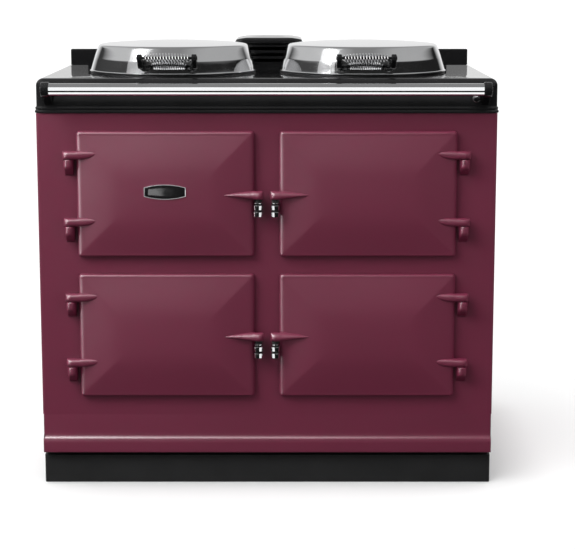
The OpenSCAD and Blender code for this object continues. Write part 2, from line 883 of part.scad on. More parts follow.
module door_casting(badged) {
    difference() {
        union() {
            door_slab();
            for (z = [lug_up, -lug_down]) translate([0, 0, z]) lug();
            latch_arm();
        }
        // hollow back, under the liner
        along_y(-door_standoff - pocket_d, 0) round_rect(plug_w - 2 * liner_t, plug_h - 2 * liner_t, plug_r);
        // groove for the rope seal
        along_y(-door_standoff - seal_groove - seat, 0) seal_ring(seat);
        // blind bores that drop over the hinge pins
        for (z = [lug_up, -lug_down]) translate([hinge_x, -hinge_out, z - lug_h / 2 - bite])
            cylinder(h = lug_h + bite - 3, r = pin_d / 2 + pin_play);
        // hole for the handle's stem
        translate([-boss_x, boss_y, -arm_h / 2 - bite]) cylinder(h = 12 + bite, r = stem_r + seat / 2);
        if (badged) translate([0, 0, badge_up])
            along_y(-door_top_f - badge_t, -door_top_f + badge_seat) badge_outline(slack);
    }
}

module door_liner() {
    difference() {
        along_y(-door_standoff, plug_d) round_rect(plug_w, plug_h, plug_r + liner_t);
        along_y(-door_standoff - bite, plug_d - liner_t)
            round_rect(plug_w - 2 * liner_t, plug_h - 2 * liner_t, plug_r);
    }
}

module door_seal() {
    along_y(-door_standoff - seal_groove, -slack) seal_ring(0);
}

// Chrome barrel in two parts, with a collar at its top and a stem up into the arm's boss
module latch_handle() {
    top = -arm_h / 2 - seat;
    translate([-boss_x, boss_y, top]) {
        translate([0, 0, -bite]) cylinder(h = 11, r = stem_r);
        rotate_extrude() polygon([
            [0, 0], [handle_r - 5, 0], [handle_r - 5, -4.5], [handle_r - 2, -5], [handle_r - 2, -8],
            [handle_r - 4, -8.5], [handle_r - 4, -10.5], [handle_r - 1, -11.5], [handle_r, -14],
            [handle_r, -21], [handle_r - 1, -23], [handle_r - 3.5, -23.5], [handle_r - 3.5, -26.5],
            [handle_r - 1, -27], [handle_r, -29], [handle_r, 5 - handle_l], [handle_r - 1.5, 2 - handle_l],
            [handle_r - 4, -handle_l], [0, -handle_l]
        ]);
    }
}

module door_top_left() {
    color(burgundy) at_door(-1, true) door_casting(true);
}

module door_top_right() {
    color(burgundy) at_door(1, true) door_casting(false);
}

module door_low_left() {
    color(burgundy) at_door(-1, false) door_casting(false);
}

module door_low_right() {
    color(burgundy) at_door(1, false) door_casting(false);
}

module liner_top_left() {
    color(steel) at_door(-1, true) door_liner();
}

module liner_top_right() {
    color(steel) at_door(1, true) door_liner();
}

module liner_low_left() {
    color(steel) at_door(-1, false) door_liner();
}

module liner_low_right() {
    color(steel) at_door(1, false) door_liner();
}

module seal_top_left() {
    color(rope) at_door(-1, true) door_seal();
}

module seal_top_right() {
    color(rope) at_door(1, true) door_seal();
}

module seal_low_left() {
    color(rope) at_door(-1, false) door_seal();
}

module seal_low_right() {
    color(rope) at_door(1, false) door_seal();
}

module handle_top_left() {
    color(chrome) at_door(-1, true) latch_handle();
}

module handle_top_right() {
    color(chrome) at_door(1, true) latch_handle();
}

module handle_low_left() {
    color(chrome) at_door(-1, false) latch_handle();
}

module handle_low_right() {
    color(chrome) at_door(1, false) latch_handle();
}

module badge_rim() {
    color(chrome) at_door(-1, true) translate([0, 0, badge_up])
        along_y(-door_top_f + badge_seat - badge_t, -door_top_f + badge_seat) difference() {
            badge_outline(0);
            badge_outline(-badge_rim_w);
        }
}

module badge_plate() {
    color(black_enamel) at_door(-1, true) translate([0, 0, badge_up])
        along_y(-door_top_f + badge_seat - badge_t + 1, -door_top_f + badge_seat)
            badge_outline(-badge_rim_w - seat);
}

// ---------------------------------------------------------------- hinge brackets, pins and catches

// Knuckle and gusset cast on the front panel, just below a lug
module hinge_bracket() {
    reach = hinge_out + bracket_r;
    intersection() {
        along_z(-bracket_h - 12, 0) {
            translate([hinge_x, -hinge_out]) circle(bracket_r);
            translate([hinge_x - 8, -hinge_out]) square([16, hinge_out]);
        }
        along_x(hinge_x - lug_r, hinge_x + lug_r) polygon([
            [0, 0], [-reach, 0], [-reach, -bracket_h + 8], [-hinge_out, -bracket_h], [0, -bracket_h - 12]
        ]);
    }
}

pin_in_bracket = 16;
pin_in_lug = lug_h - 5;

module hinge_brackets() {
    color(burgundy) at_every_door() for (z = [lug_up, -lug_down])
        translate([0, 0, z - lug_h / 2 - lug_gap]) difference() {
            hinge_bracket();
            translate([hinge_x, -hinge_out, -pin_in_bracket - seat])
                cylinder(h = pin_in_bracket + seat + bite, r = pin_d / 2 + 0.02);
        }
}

module hinge_pins() {
    color(steel) at_every_door() for (z = [lug_up, -lug_down])
        translate([hinge_x, -hinge_out, z - lug_h / 2 - lug_gap - pin_in_bracket])
            cylinder(h = pin_in_bracket + lug_gap + pin_in_lug, r = pin_d / 2);
}

// Sloping catch on the front panel behind each handle
module latch_catches() {
    nose = handle_r - boss_y;
    color(satin_black) at_every_door() along_x(-boss_x - 8, -boss_x + 8) polygon([
        [0, -arm_h / 2 - 2], [-4, -arm_h / 2 - 2], [boss_y + handle_r + 1.5, -arm_h / 2 - 8],
        [boss_y + handle_r + 1.5, -arm_h / 2 - 24], [-3, -arm_h / 2 - 34], [0, -arm_h / 2 - 34]
    ]);
}

// ---------------------------------------------------------------- towel rail

rail_wall = 1.6;

module towel_rail() {
    half = rail_l / 2 + rail_socket - seat;
    color(chrome) difference() {
        along_x(-half, half) translate([rail_y, rail_z]) circle(rail_d / 2);
        along_x(-half - bite, half + bite) translate([rail_y, rail_z]) circle(rail_d / 2 - rail_wall);
    }
}

// Cast bracket: a boss with a socket for the rail, and an arm back to the apron
module rail_brackets() {
    boss = rail_d / 2 + rail_boss_t;
    apron_y = y_front - apron_out;
    color(black_enamel) for (side = [-1, 1]) mirror([side < 0 ? 1 : 0, 0, 0]) difference() {
        union() {
            along_x(rail_l / 2, rail_l / 2 + rail_boss_l) {
                translate([rail_y, rail_z]) circle(boss);
                polygon([
                    [rail_y, rail_z + boss], [apron_y, z_plate - apron_r - 2],
                    [apron_y, z_apron + 18], [rail_y, rail_z - boss]
                ]);
            }
        }
        along_x(rail_l / 2 - bite, rail_l / 2 + rail_socket) translate([rail_y, rail_z])
            circle(rail_d / 2 + 0.1);
    }
}

module apron_stud() {
    y1 = y_front - apron_out;
    color(chrome) translate([body_w / 2 - stud_inset, y1, z_plate - stud_drop]) rotate([90, 0, 0])
    rotate_extrude() polygon([
        [0, 0], [stud_r - 2, 0], [stud_r - 2, 3], [stud_r, 4.5], [stud_r, 13], [stud_r - 2, 15], [0, 16]
    ]);
}

// ---------------------------------------------------------------- lids

// Outside of a lid's section, from its rim to the middle of its crown
shoulder_round = 8;
lid_section = concat(
    [[lid_r, lid_lift], [fold_r, fold_z]],
    [for (a = [0:15:90])
        [shoulder_r - shoulder_round * (1 - cos(a)), shoulder_z + (lid_crown - 1) * sin(a)]],
    [[0, shoulder_z + lid_crown]]
);

// Solid with a lid's outside, grown by a gap, for trimming what seats against the lid
module lid_outside(gap) {
    rotate_extrude($fn = 128) polygon(concat(
        [[0, lid_lift - bite], [lid_r + gap, lid_lift - bite]],
        [for (p = lid_section) [p[0] > 0 ? p[0] + gap : 0, p[1] + (p[1] > fold_z ? gap : 0)]]
    ));
}

module lid_dome() {
    rim_r = 2;
    rotate_extrude($fn = 128) {
        polygon(concat(
            lid_section,
            [[0, shoulder_z + lid_crown - lid_t]],
            [for (i = [len(lid_section) - 2:-1:2])
                [max(lid_section[i][0] - lid_t, 0), lid_section[i][1] - lid_t]],
            [[fold_r - lid_t, fold_z - lid_t / 2], [lid_r - lid_t, lid_lift]]
        ));
        translate([lid_r - 1.2, lid_lift + 0.4]) circle(rim_r, $fn = 32);
    }
}

// Inside radius of a lid's flared wall, at a height above its rim
function lid_inner_r(up) = lid_r - lid_t - up * (lid_r - fold_r) / (fold_z - lid_t / 2 - lid_lift);

// Disc that closes the lid, with a thicker middle that lies just over the hotplate
module lid_liner() {
    up = 3;
    t = 1.6;
    translate([0, 0, lid_lift + up]) cylinder(h = t, r = lid_inner_r(up + t) - seat, $fn = 128);
    translate([0, 0, hotplate_top + slack])
        cylinder(h = lid_lift + up + t / 2 - hotplate_top - slack, r = hotplate_r - 5, $fn = 128);
}

// Two straps and a cross bar, from knuckles on the hinge pin to the back of the lid
strap_x = 45;
strap_w = 14;
ear_x = 62;
ear_w = 12;

module lid_arm() {
    difference() {
        union() {
            for (side = [-1, 1]) along_x(side * strap_x - strap_w / 2, side * strap_x + strap_w / 2) {
                translate([lid_hinge_back, lid_hinge_z]) circle(knuckle_r);
                polygon([
                    [lid_hinge_back, lid_hinge_z + knuckle_r], [lid_hinge_back, lid_hinge_z - knuckle_r],
                    [lid_r - 30, lid_lift + 7], [lid_r - 30, fold_z + 2]
                ]);
            }
            along_x(-strap_x, strap_x) polygon([
                [lid_r + 10, lid_lift + 12], [lid_r + 10, fold_z - 4], [lid_r - 2, fold_z - 4],
                [lid_r - 2, lid_lift + 12]
            ]);
        }
        lid_outside(seat);
        along_x(-strap_x - strap_w, strap_x + strap_w) translate([lid_hinge_back, lid_hinge_z])
            circle(lid_pin_d / 2 + pin_play);
    }
}

module lid_brackets() {
    y0 = lid_hinge_back - 12;
    y1 = lid_hinge_back + 14;
    color(black_enamel) for (side = [-1, 1]) at_lid(side) {
        difference() {
            union() {
                box([-ear_x - ear_w / 2, y0, seat], [ear_x + ear_w / 2, y1, 4]);
                for (s = [-1, 1]) along_x(s * ear_x - ear_w / 2, s * ear_x + ear_w / 2) {
                    translate([lid_hinge_back, lid_hinge_z]) circle(knuckle_r);
                    polygon([
                        [y0, 3], [y1, 3], [lid_hinge_back + knuckle_r, lid_hinge_z],
                        [lid_hinge_back - knuckle_r, lid_hinge_z]
                    ]);
                }
            }
            along_x(-ear_x - ear_w, ear_x + ear_w) translate([lid_hinge_back, lid_hinge_z])
                circle(lid_pin_d / 2 + 0.02);
        }
    }
}

module lid_pins() {
    half = ear_x + ear_w / 2 + 2;
    color(steel) for (side = [-1, 1]) at_lid(side)
        along_x(-half, half) translate([lid_hinge_back, lid_hinge_z]) circle(lid_pin_d / 2);
}

// Handle: two posts off the lid's side with a bar between them
post_r = 8.5;
post_in = grip_l / 2 - post_w;

module grip_bar() {
    difference() {
        union() {
            for (side = [-1, 1]) mirror([side < 0 ? 1 : 0, 0, 0]) along_x(post_in, post_in + post_w) {
                translate([-grip_back, grip_z]) circle(post_r);
                polygon([
                    [-grip_back, grip_z + post_r], [-grip_back + 50, grip_z + 2],
                    [-grip_back + 50, lid_lift + 12], [-grip_back + 22, lid_lift + 12],
                    [-grip_back - 4, grip_z - post_r + 1]
                ]);
            }
            along_x(-post_in - bite, post_in + bite) translate([-grip_back, grip_z]) circle(bar_d / 2);
        }
        lid_outside(seat);
    }
}

// Coil: one tube that runs straight out of a post, winds round the bar and runs straight into
// the other post. A ring of the tube is [point, outward direction].
coil_rings = 8;
coil_sides = 6;
coil_end = wire_d;
coil_len = 2 * (post_in - coil_end);
coil_pitch = coil_len / coil_turns;

function coil_out(a) = [0, cos(a), sin(a)];

coil_path = concat(
    [[-post_in, 0]],
    [for (i = [0:coil_turns * coil_rings])
        [i / coil_rings * coil_pitch - coil_len / 2, i * 360 / coil_rings]],
    [[post_in, coil_turns * 360]]
);

function coil_belly_at(x) = coil_belly * (1 - min(pow(2 * x / coil_len, 2), 1));

function coil_point(i) =
    [coil_path[i][0], 0, 0] + (coil_r + coil_belly_at(coil_path[i][0])) * coil_out(coil_path[i][1]);

function unit(v) = v / norm(v);

module coil() {
    last = len(coil_path) - 1;
    centres = [for (i = [0:last]) coil_point(i)];
    gap = min([for (i = [0:last - 3], j = [i + 3:last]) norm(centres[i] - centres[j]) - wire_d]);
    echo(coil_least_gap_mm = gap);
    points = [
        for (i = [0:last])
            let (
                along = i == 0 || i == last ? [1, 0, 0] : unit(centres[i + 1] - centres[i - 1]),
                out = coil_out(coil_path[i][1]),
                across = unit(cross(along, out))
            )
            for (k = [0:coil_sides - 1])
                let (a = k * 360 / coil_sides)
                centres[i] + wire_d / 2 * (cos(a) * out + sin(a) * across)
    ];
    sides = [
        for (i = [0:last - 1], k = [0:coil_sides - 1])
            let (
                a = i * coil_sides + k,
                b = i * coil_sides + (k + 1) % coil_sides,
                c = a + coil_sides,
                d = b + coil_sides
            )
            each [[a, c, b], [b, c, d]]
    ];
    first_cap = [for (k = [1:coil_sides - 2]) [0, k, k + 1]];
    base = last * coil_sides;
    last_cap = [for (k = [1:coil_sides - 2]) [base, base + k + 1, base + k]];
    translate([0, -grip_back, grip_z]) polyhedron(points, concat(sides, first_cap, last_cap));
}

module lid_left() {
    color(chrome) at_lid(-1) lid_dome();
}

module lid_right() {
    color(chrome) at_lid(1) lid_dome();
}

module lid_liner_left() {
    color(steel) at_lid(-1) lid_liner();
}

module lid_liner_right() {
    color(steel) at_lid(1) lid_liner();
}

module lid_arm_left() {
    color(black_enamel) at_lid(-1) lid_arm();
}

module lid_arm_right() {
    color(black_enamel) at_lid(1) lid_arm();
}

module grip_bar_left() {
    color(black_enamel) at_lid(-1) grip_bar();
}

module grip_bar_right() {
    color(black_enamel) at_lid(1) grip_bar();
}

module grip_coil_left() {
    color(chrome) at_lid(-1) coil();
}

module grip_coil_right() {
    color(chrome) at_lid(1) coil();
}

// ---------------------------------------------------------------- nodes

plinth();
levelling_feet();
base_plate();
skirt();
front_panel();
side_panels();
back_panel();
top_plate();
rear_ledge();
vent_cowl();
vent_cap();
flue_duct();
insulation();
hotplates();
heating_elements();
roasting_oven();
baking_oven();
simmering_oven();
oven_shelves();
control_box();
control_panel();
knob_left();
knob_right();
hinge_brackets();
hinge_pins();
latch_catches();
towel_rail();
rail_brackets();
apron_stud();
cable_gland();
door_top_left();
liner_top_left();
seal_top_left();
handle_top_left();
door_top_right();
liner_top_right();
seal_top_right();
handle_top_right();
door_low_left();
liner_low_left();
seal_low_left();
handle_low_left();
door_low_right();
liner_low_right();
seal_low_right();
handle_low_right();
badge_rim();
badge_plate();
lid_brackets();
lid_pins();
lid_left();
lid_liner_left();
lid_arm_left();
grip_bar_left();
grip_coil_left();
lid_right();
lid_liner_right();
lid_arm_right();
grip_bar_right();
grip_coil_right();
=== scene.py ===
"""Looks for the cast iron range cooker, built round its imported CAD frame.

Shapes are worked out in millimetres in the CAD's frame (X right, Y back, Z up, front towards -Y) and
scaled to metres when their mesh is made.
"""
import math

import bpy
import numpy as np
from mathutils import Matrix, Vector


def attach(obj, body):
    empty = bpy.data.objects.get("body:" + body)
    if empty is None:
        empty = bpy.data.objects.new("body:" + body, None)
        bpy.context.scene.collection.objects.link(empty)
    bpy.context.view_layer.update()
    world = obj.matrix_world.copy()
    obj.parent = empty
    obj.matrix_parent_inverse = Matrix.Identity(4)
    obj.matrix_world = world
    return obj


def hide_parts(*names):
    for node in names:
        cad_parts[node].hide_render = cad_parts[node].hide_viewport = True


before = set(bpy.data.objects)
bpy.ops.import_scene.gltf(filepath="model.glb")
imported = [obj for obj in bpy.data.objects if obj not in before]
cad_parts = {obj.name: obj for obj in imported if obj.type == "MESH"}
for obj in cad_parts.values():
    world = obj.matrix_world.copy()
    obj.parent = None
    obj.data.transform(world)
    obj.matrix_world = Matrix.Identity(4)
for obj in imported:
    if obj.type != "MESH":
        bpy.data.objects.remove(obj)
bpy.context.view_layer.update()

MM = 0.001
TAU = 2 * math.pi
HANDS = ((-1, "left"), (1, "right"))
ROWS = ("top", "low")

# The CAD's own sizes, in millimetres
Y_FRONT = -289.5
Y_BACK = 350.5
Z_SKIRT, Z_FRONT, Z_APRON, Z_PLATE = 71, 155, 818, 892
BODY_W, PLATE_CORNER = 987, 18
DOOR_W, DOOR_H, DOOR_X = 380, 271.5, 217.2
DOOR_Z = {"top": 644.45, "low": 334.65}
OPENING_W, OPENING_H = 350, 241.5
HINGE_X, HINGE_OUT = 206.8, 16
BOSS_X, BOSS_Y = 198.9, -23.5
LUGS = (85, -59.5)
DOOR_CORNER, KNUCKLE_R, BOSS_R, CAST_HALF = 7, 12, 10.5, 9
LID_X, LID_Y = 213.8, -57.5
PANEL_Y, KNOB_X = Y_FRONT + 94, 65
# Axes along X, as (Y, Z). Those of the grip and the hinge are from the lid's middle.
RAIL, GRIP, LID_HINGE = (-334.5, 872), (-209, 42), (219, 26)


# ---- outlines and skins

def coords(*axes):
    """Arrays side by side, such as points from their coordinates."""
    return np.stack(axes, -1)


def join(*parts):
    """Arrays end to end."""
    return np.concatenate(parts)


def arc(centre, radius, start, end, steps):
    """Points on a circle from one angle to another, in degrees: centre plus radius times cosine and sine."""
    a = np.radians(np.linspace(start, end, steps))
    return coords(centre[0] + radius * np.cos(a), centre[1] + radius * np.sin(a))


def around(steps):
    """Angles of a full turn, in even steps."""
    return np.linspace(0, TAU, steps, endpoint=False)


def unit(v):
    """Vectors made one long."""
    return v / np.linalg.norm(v, axis=1)[:, None]


def bulge(c, power):
    """A cosine or sine raised to a power and given its sign back, as in a superellipse."""
    return np.sign(c) * np.abs(c) ** power


def flat(loop, z):
    """An outline laid flat at a height."""
    return np.column_stack([loop, np.full(len(loop), z)])


def upright(loop, y):
    """An outline stood up at a depth."""
    return flat(loop, y)[:, [0, 2, 1]]


def rounded_rect(w, h, r, steps):
    """Outline of a rectangle about the middle: four quarter circles, one in each corner, anticlockwise."""
    x, y = w / 2 - r, h / 2 - r
    corners = ((x, y, 0), (-x, y, 90), (-x, -y, 180), (x, -y, 270))
    return join(*[arc((cx, cy), r, a, a + 90, steps) for cx, cy, a in corners])


def rounded_polygon(corners, radii, steps):
    """Outline of a polygon whose corners are cut by curves: each curve is a quadratic blend that starts and
    ends at the corner's radius along its two edges, or just short of an edge's middle."""
    p = np.asarray(corners, float)
    r = np.broadcast_to(np.asarray(radii, float), (len(p),))[:, None]
    back, ahead = np.roll(p, 1, 0) - p, np.roll(p, -1, 0) - p
    lb, la = [np.linalg.norm(edge, axis=1)[:, None] for edge in (back, ahead)]
    most = 0.49
    a = p + back / lb * np.minimum(r, lb * most)
    b = p + ahead / la * np.minimum(r, la * most)
    t = np.linspace(0, 1, steps)[None, :, None]
    return ((1 - t) ** 2 * a[:, None] + 2 * t * (1 - t) * p[:, None] + t ** 2 * b[:, None]).reshape(-1, 2)


def inset(loop, d):
    """An outline moved inwards by d: each point goes along the mean normal of its two edges, lengthened at
    corners so that the edges stay parallel."""
    ahead = np.roll(loop, -1, 0) - loop
    ahead = ahead / np.maximum(np.linalg.norm(ahead, axis=1), 1e-9)[:, None]
    normal = coords(-ahead[:, 1], ahead[:, 0])
    area = (loop[:, 0] * np.roll(loop[:, 1], -1) - np.roll(loop[:, 0], -1) * loop[:, 1]).sum()
    mean = normal + np.roll(normal, 1, 0)
    sharpest = 0.3
    mean = mean / np.maximum((mean ** 2).sum(1) / 2, sharpest)[:, None]
    return loop + mean * d * np.sign(area)


def skin(rows, ring=False):
    """A closed skin over rows of points. Every row is a closed loop. The ends are fans to their middle, or
    with ring the last row joins the first. UV runs 0 to 1 along the rows and round each loop."""
    rows = np.asarray(rows, float)
    n, m = rows.shape[:2]
    span = n if ring else n - 1
    i, j = np.indices((span, m)).reshape(2, -1)
    i1, j1 = (i + 1) % n, (j + 1) % m
    faces = [coords(i * m + j, i * m + j1, i1 * m + j1, i1 * m + j)]
    uvs = [coords(coords(i, i, i + 1, i + 1) / span, coords(j, j + 1, j + 1, j) / m)]
    points = rows.reshape(-1, 3)
    if not ring:
        points = join(points, rows[[0, -1]].mean(1))
        j = np.arange(m)
        j1 = (j + 1) % m
        for row, mid, u in ((0, n * m, 0.0), (n - 1, n * m + 1, 1.0)):
            a, b = (j1, j) if row == 0 else (j, j1)
            faces.append(coords(np.full(m, mid), row * m + a, row * m + b))
            uvs.append(coords(np.full((m, 3), u), coords(j, j, j) / m))
    return points, faces, uvs


def border(grid):
    """The edge of a grid, once round."""
    return join(grid[0, :-1], grid[:-1, -1], grid[-1, :0:-1], grid[:0:-1, 0])


def blanket(grid, rows):
    """A closed skin: a sheet of points, then rows that carry on from its edge and end in a fan."""
    n, m = grid.shape[:2]
    index = np.arange(n * m).reshape(n, m)
    rim = border(index)
    c = len(rim)
    loops = join(rim[None], n * m + np.arange(len(rows) * c).reshape(-1, c))
    a, b = loops[:-1], loops[1:]
    quads = join(coords(index[:-1, :-1], index[1:, :-1], index[1:, 1:], index[:-1, 1:]).reshape(-1, 4),
                 coords(a, np.roll(a, -1, 1), np.roll(b, -1, 1), b).reshape(-1, 4))
    points = join(grid.reshape(-1, 3), np.reshape(rows, (-1, 3)), rows[-1].mean(0)[None])
    last = loops[-1]
    fan = coords(last, np.roll(last, -1), np.full(c, len(points) - 1))
    uv = points[:, [0, 2]] * MM
    return points, [quads, fan], [uv[quads], uv[fan]]


AXIS_RADIUS = 0.02


def lathe(profile, steps, flutes=0, depth=0.0, part=(0, 0)):
    """A profile of (radius, height) turned about Z. In the rows of part, the radius is cut by flutes:
    radius times one less depth times the size of a cosine."""
    profile = np.asarray(profile, float)
    a = around(steps)
    r = np.repeat(np.maximum(profile[:, :1], AXIS_RADIUS), steps, 1)
    if flutes:
        r[part[0]:part[1]] *= 1 - depth * np.abs(np.cos(a * flutes / 2))[None]
    return coords(r * np.cos(a), r * np.sin(a), np.repeat(profile[:, 1:], steps, 1))


def turned(rows, axis, at, ring=False):
    """A skin over rows made about Z, turned to lie along an axis and moved to a place."""
    x, y, z = rows[..., 0], rows[..., 1], rows[..., 2]
    order = {"+z": (x, y, z), "+x": (z, x, y), "-x": (-z, -x, y), "+y": (y, z, x), "-y": (x, -z, y)}[axis]
    return skin(coords(*order) + np.asarray(at, float), ring)


def slab(loop, low, high, r, steps=4, plane="yz"):
    """A skin over an outline drawn out between two levels, its edges rounded: near each end the outline is
    inset by r less the height of a quarter circle."""
    r = min(r, abs(high - low) / 2)
    a = np.linspace(0, np.pi / 2, steps)
    ins = r * (1 - np.sin(a))
    lev = r * (1 - np.cos(a))
    levels = join(low + lev, high - lev[::-1])
    rows = np.array([flat(inset(loop, i), z) for i, z in zip(join(ins, ins[::-1]), levels)])
    order = {"xy": (0, 1, 2), "xz": (0, 2, 1), "yz": (2, 0, 1)}[plane]
    return skin(rows[..., order])


def stand(name, data):
    """Makes an object and puts it in the scene."""
    obj = bpy.data.objects.new(name, data)
    bpy.context.scene.collection.objects.link(obj)
    return obj


def piece(name, skins, finish, slot, *nodes, body="cooker", smooth=40):
    """Makes one object of closed skins, with faces turned outwards, and rides it on its body. A skin is
    turned where its signed volume, the sum of each face's corner products, is below nothing."""
    points, corners, starts, uvs, base, at = [], [], [], [], 0, 0
    for pts, faces, uv in skins:
        tri = join(*[f[:, [0, k, k + 1]] for f in faces for k in range(1, f.shape[1] - 1)])
        p = pts[tri] - pts.mean(0)
        volume = np.einsum("ij,ij->", p[:, 0], np.cross(p[:, 1], p[:, 2]))
        way = -1 if volume < 0 else 1
        for f, t in zip(faces, uv):
            corners.append(f[:, ::way].ravel() + base)
            uvs.append(t[:, ::way].reshape(-1, 2))
            starts.append(at + np.arange(len(f)) * f.shape[1])
            at += f.size
        points.append(pts)
        base += len(pts)
    points, corners, starts, uvs = [join(*parts) for parts in (points, corners, starts, uvs)]
    mesh = bpy.data.meshes.new(name)
    mesh.vertices.add(len(points))
    mesh.vertices.foreach_set("co", (points * MM).astype(np.float32).ravel())
    mesh.loops.add(len(corners))
    mesh.loops.foreach_set("vertex_index", corners.astype(np.int32))
    mesh.polygons.add(len(starts))
    mesh.polygons.foreach_set("loop_start", starts.astype(np.int32))
    mesh.uv_layers.new(name="UVMap")
    mesh.update(calc_edges=True)
    mesh.uv_layers[0].data.foreach_set("uv", uvs.astype(np.float32).ravel())
    mesh.polygons.foreach_set("use_smooth", np.ones(len(starts), bool))
    mesh.set_sharp_from_angle(angle=math.radians(smooth))
    mesh.materials.append(finish)
    obj = stand(name, mesh)
    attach(obj, body)
    if nodes:
        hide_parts(*nodes)


# ---- finishes

class Finish:
    """A Principled material and the few pattern nodes that the finishes share."""

    def __init__(self, name, colour, rough, metal=0.0, coat=0.0, coat_rough=0.05, spec=0.5):
        self.mat = bpy.data.materials.new(name)
        self.mat.use_nodes = True
        self.tree = self.mat.node_tree
        self.shader = self.tree.nodes["Principled BSDF"]
        for socket, value in (("Base Color", (*colour, 1)), ("Roughness", rough), ("Metallic", metal),
                              ("Coat Weight", coat), ("Coat Roughness", coat_rough),
                              ("Specular IOR Level", spec)):
            self.shader.inputs[socket].default_value = value
        self.coords = self.new("TexCoord")
        self.height = None

    def new(self, kind):
        return self.tree.nodes.new("ShaderNode" + kind)

    def link(self, a, b):
        self.tree.links.new(a, b)

    def place(self, scale, source="Object"):
        """Coordinates of a pattern, stretched by scale."""
        node = self.new("Mapping")
        node.inputs["Scale"].default_value = scale
        self.link(self.coords.outputs[source], node.inputs["Vector"])
        return node.outputs["Vector"]

    def pattern(self, kind, at, **inputs):
        """A pattern node of a kind, on Object coordinates or on those given."""
        node = self.new("Tex" + kind)
        for key, value in inputs.items():
            node.inputs[key].default_value = value
        self.link(at or self.coords.outputs["Object"], node.inputs["Vector"])
        return node

    def noise(self, scale, detail, rough=0.5, at=None, distortion=0.0):
        """Cloudy noise. In the methods below, a pattern given as a tuple is noise of those settings."""
        return self.pattern("Noise", at, Scale=scale, Detail=detail, Roughness=rough,
                            Distortion=distortion).outputs["Fac"]

    def slanted_bands(self, at):
        node = self.pattern("Wave", at, Scale=1.0)
        node.bands_direction = "DIAGONAL"
        return node.outputs["Fac"]

    def cells(self, scale, out):
        return self.pattern("Voronoi", None, Scale=scale).outputs[out]

    def feed(self, fac, socket):
        self.link(self.noise(*fac) if isinstance(fac, tuple) else fac, socket)

    def ramp(self, fac, low, high, start=0.3, end=0.7):
        """A blend of two colours, or of two values, between two levels of a pattern."""
        node = self.new("ValToRGB")
        for element, at, value in ((0, start, low), (1, end, high)):
            value = value if isinstance(value, tuple) else (value,) * 3
            node.color_ramp.elements[element].position = at
            node.color_ramp.elements[element].color = (*value, 1)
        self.feed(fac, node.inputs["Fac"])
        return node.outputs["Color"]

    def colour(self, *levels):
        self.link(self.ramp(*levels), self.shader.inputs["Base Color"])

    def roughness(self, *levels):
        self.link(self.ramp(*levels), self.shader.inputs["Roughness"])

    def bump(self, fac, distance, strength):
        """Relief of a real depth in millimetres, laid over any relief that is there already."""
        node = self.new("Bump")
        node.inputs["Strength"].default_value = strength
        node.inputs["Distance"].default_value = distance * MM
        self.feed(fac, node.inputs["Height"])
        if self.height:
            self.link(self.height, node.inputs["Normal"])
        self.height = node.outputs["Normal"]
        self.link(self.height, self.shader.inputs["Normal"])


def burgundy_enamel():
    """Thick enamel on cast iron: long slow ripples, fine orange peel and a faint change of tone."""
    f = Finish("burgundy_enamel", (0.113, 0.0088, 0.031), 0.4, spec=0.8)
    f.colour((5, 3), (0.109, 0.0084, 0.0297), (0.117, 0.0092, 0.0323))
    f.roughness((60, 4), 0.38, 0.42)
    f.bump((26, 2), 0.1, 0.5)
    f.bump((220, 2), 0.015, 0.5)
    return f.mat


def black_enamel():
    """Deep black gloss enamel with a soft ripple under its glaze."""
    f = Finish("black_enamel", (0.0075, 0.0075, 0.0078), 0.07)
    f.colour((7, 3), (0.0062, 0.0062, 0.0065), (0.0088, 0.0088, 0.0092))
    f.roughness((45, 4), 0.05, 0.1)
    f.bump((30, 2), 0.05, 0.4)
    return f.mat


def satin_black():
    """Satin powder paint: a fine grain with a slight change of sheen."""
    f = Finish("satin_black", (0.012, 0.012, 0.0124), 0.5, spec=0.4)
    f.colour((18, 4), (0.0105, 0.0105, 0.0108), (0.014, 0.014, 0.0144))
    f.roughness((70, 4), 0.44, 0.56)
    f.bump((1400, 3, 0.7), 0.04, 0.5)
    return f.mat


def chrome(name="chrome", rough=(0.04, 0.09), tint=(0.86, 0.865, 0.875)):
    """Polished chrome plate with faint wiping marks."""
    f = Finish(name, tint, rough[0], metal=1.0)
    f.colour((12, 3), tuple(0.94 * c for c in tint), tint)
    f.roughness(f.noise(34, 5, 0.6, at=f.place((1, 1, 2.2))), *rough)
    f.bump((18, 2), 0.02, 0.35)
    return f.mat


def spun_metal(name, tint, rough, rings, metal=1.0):
    """Metal turned on a lathe: fine rings that follow the radius, kept in the first UV direction."""
    f = Finish(name, tint, rough, metal=metal)
    grain = f.noise(rings, 4, 0.7, at=f.place((1, 0.012, 1), "UV"))
    f.colour((9, 4), tuple(0.8 * c for c in tint), tint)
    f.roughness(grain, rough - 0.08, rough + 0.1)
    f.bump(grain, 0.05, 0.5)
    return f.mat


def steel():
    """Plain drawn steel, brushed along X."""
    f = Finish("steel", (0.55, 0.56, 0.58), 0.34, metal=1.0)
    grain = f.noise(400, 3, 0.7, at=f.place((0.05, 1, 1)))
    f.colour((14, 4), (0.44, 0.45, 0.47), (0.6, 0.61, 0.63))
    f.roughness(grain, 0.26, 0.44)
    f.bump(grain, 0.02, 0.4)
    return f.mat


def zinc_sheet():
    """Galvanised sheet: flat crystals of slightly different greys."""
    f = Finish("zinc_sheet", (0.5, 0.52, 0.54), 0.42, metal=1.0)
    spangle = f.cells(70, "Color")
    f.colour(spangle, (0.42, 0.44, 0.46), (0.58, 0.6, 0.62), 0.2, 0.8)
    f.roughness(spangle, 0.34, 0.52, 0.2, 0.8)
    f.bump((240, 3), 0.03, 0.4)
    return f.mat


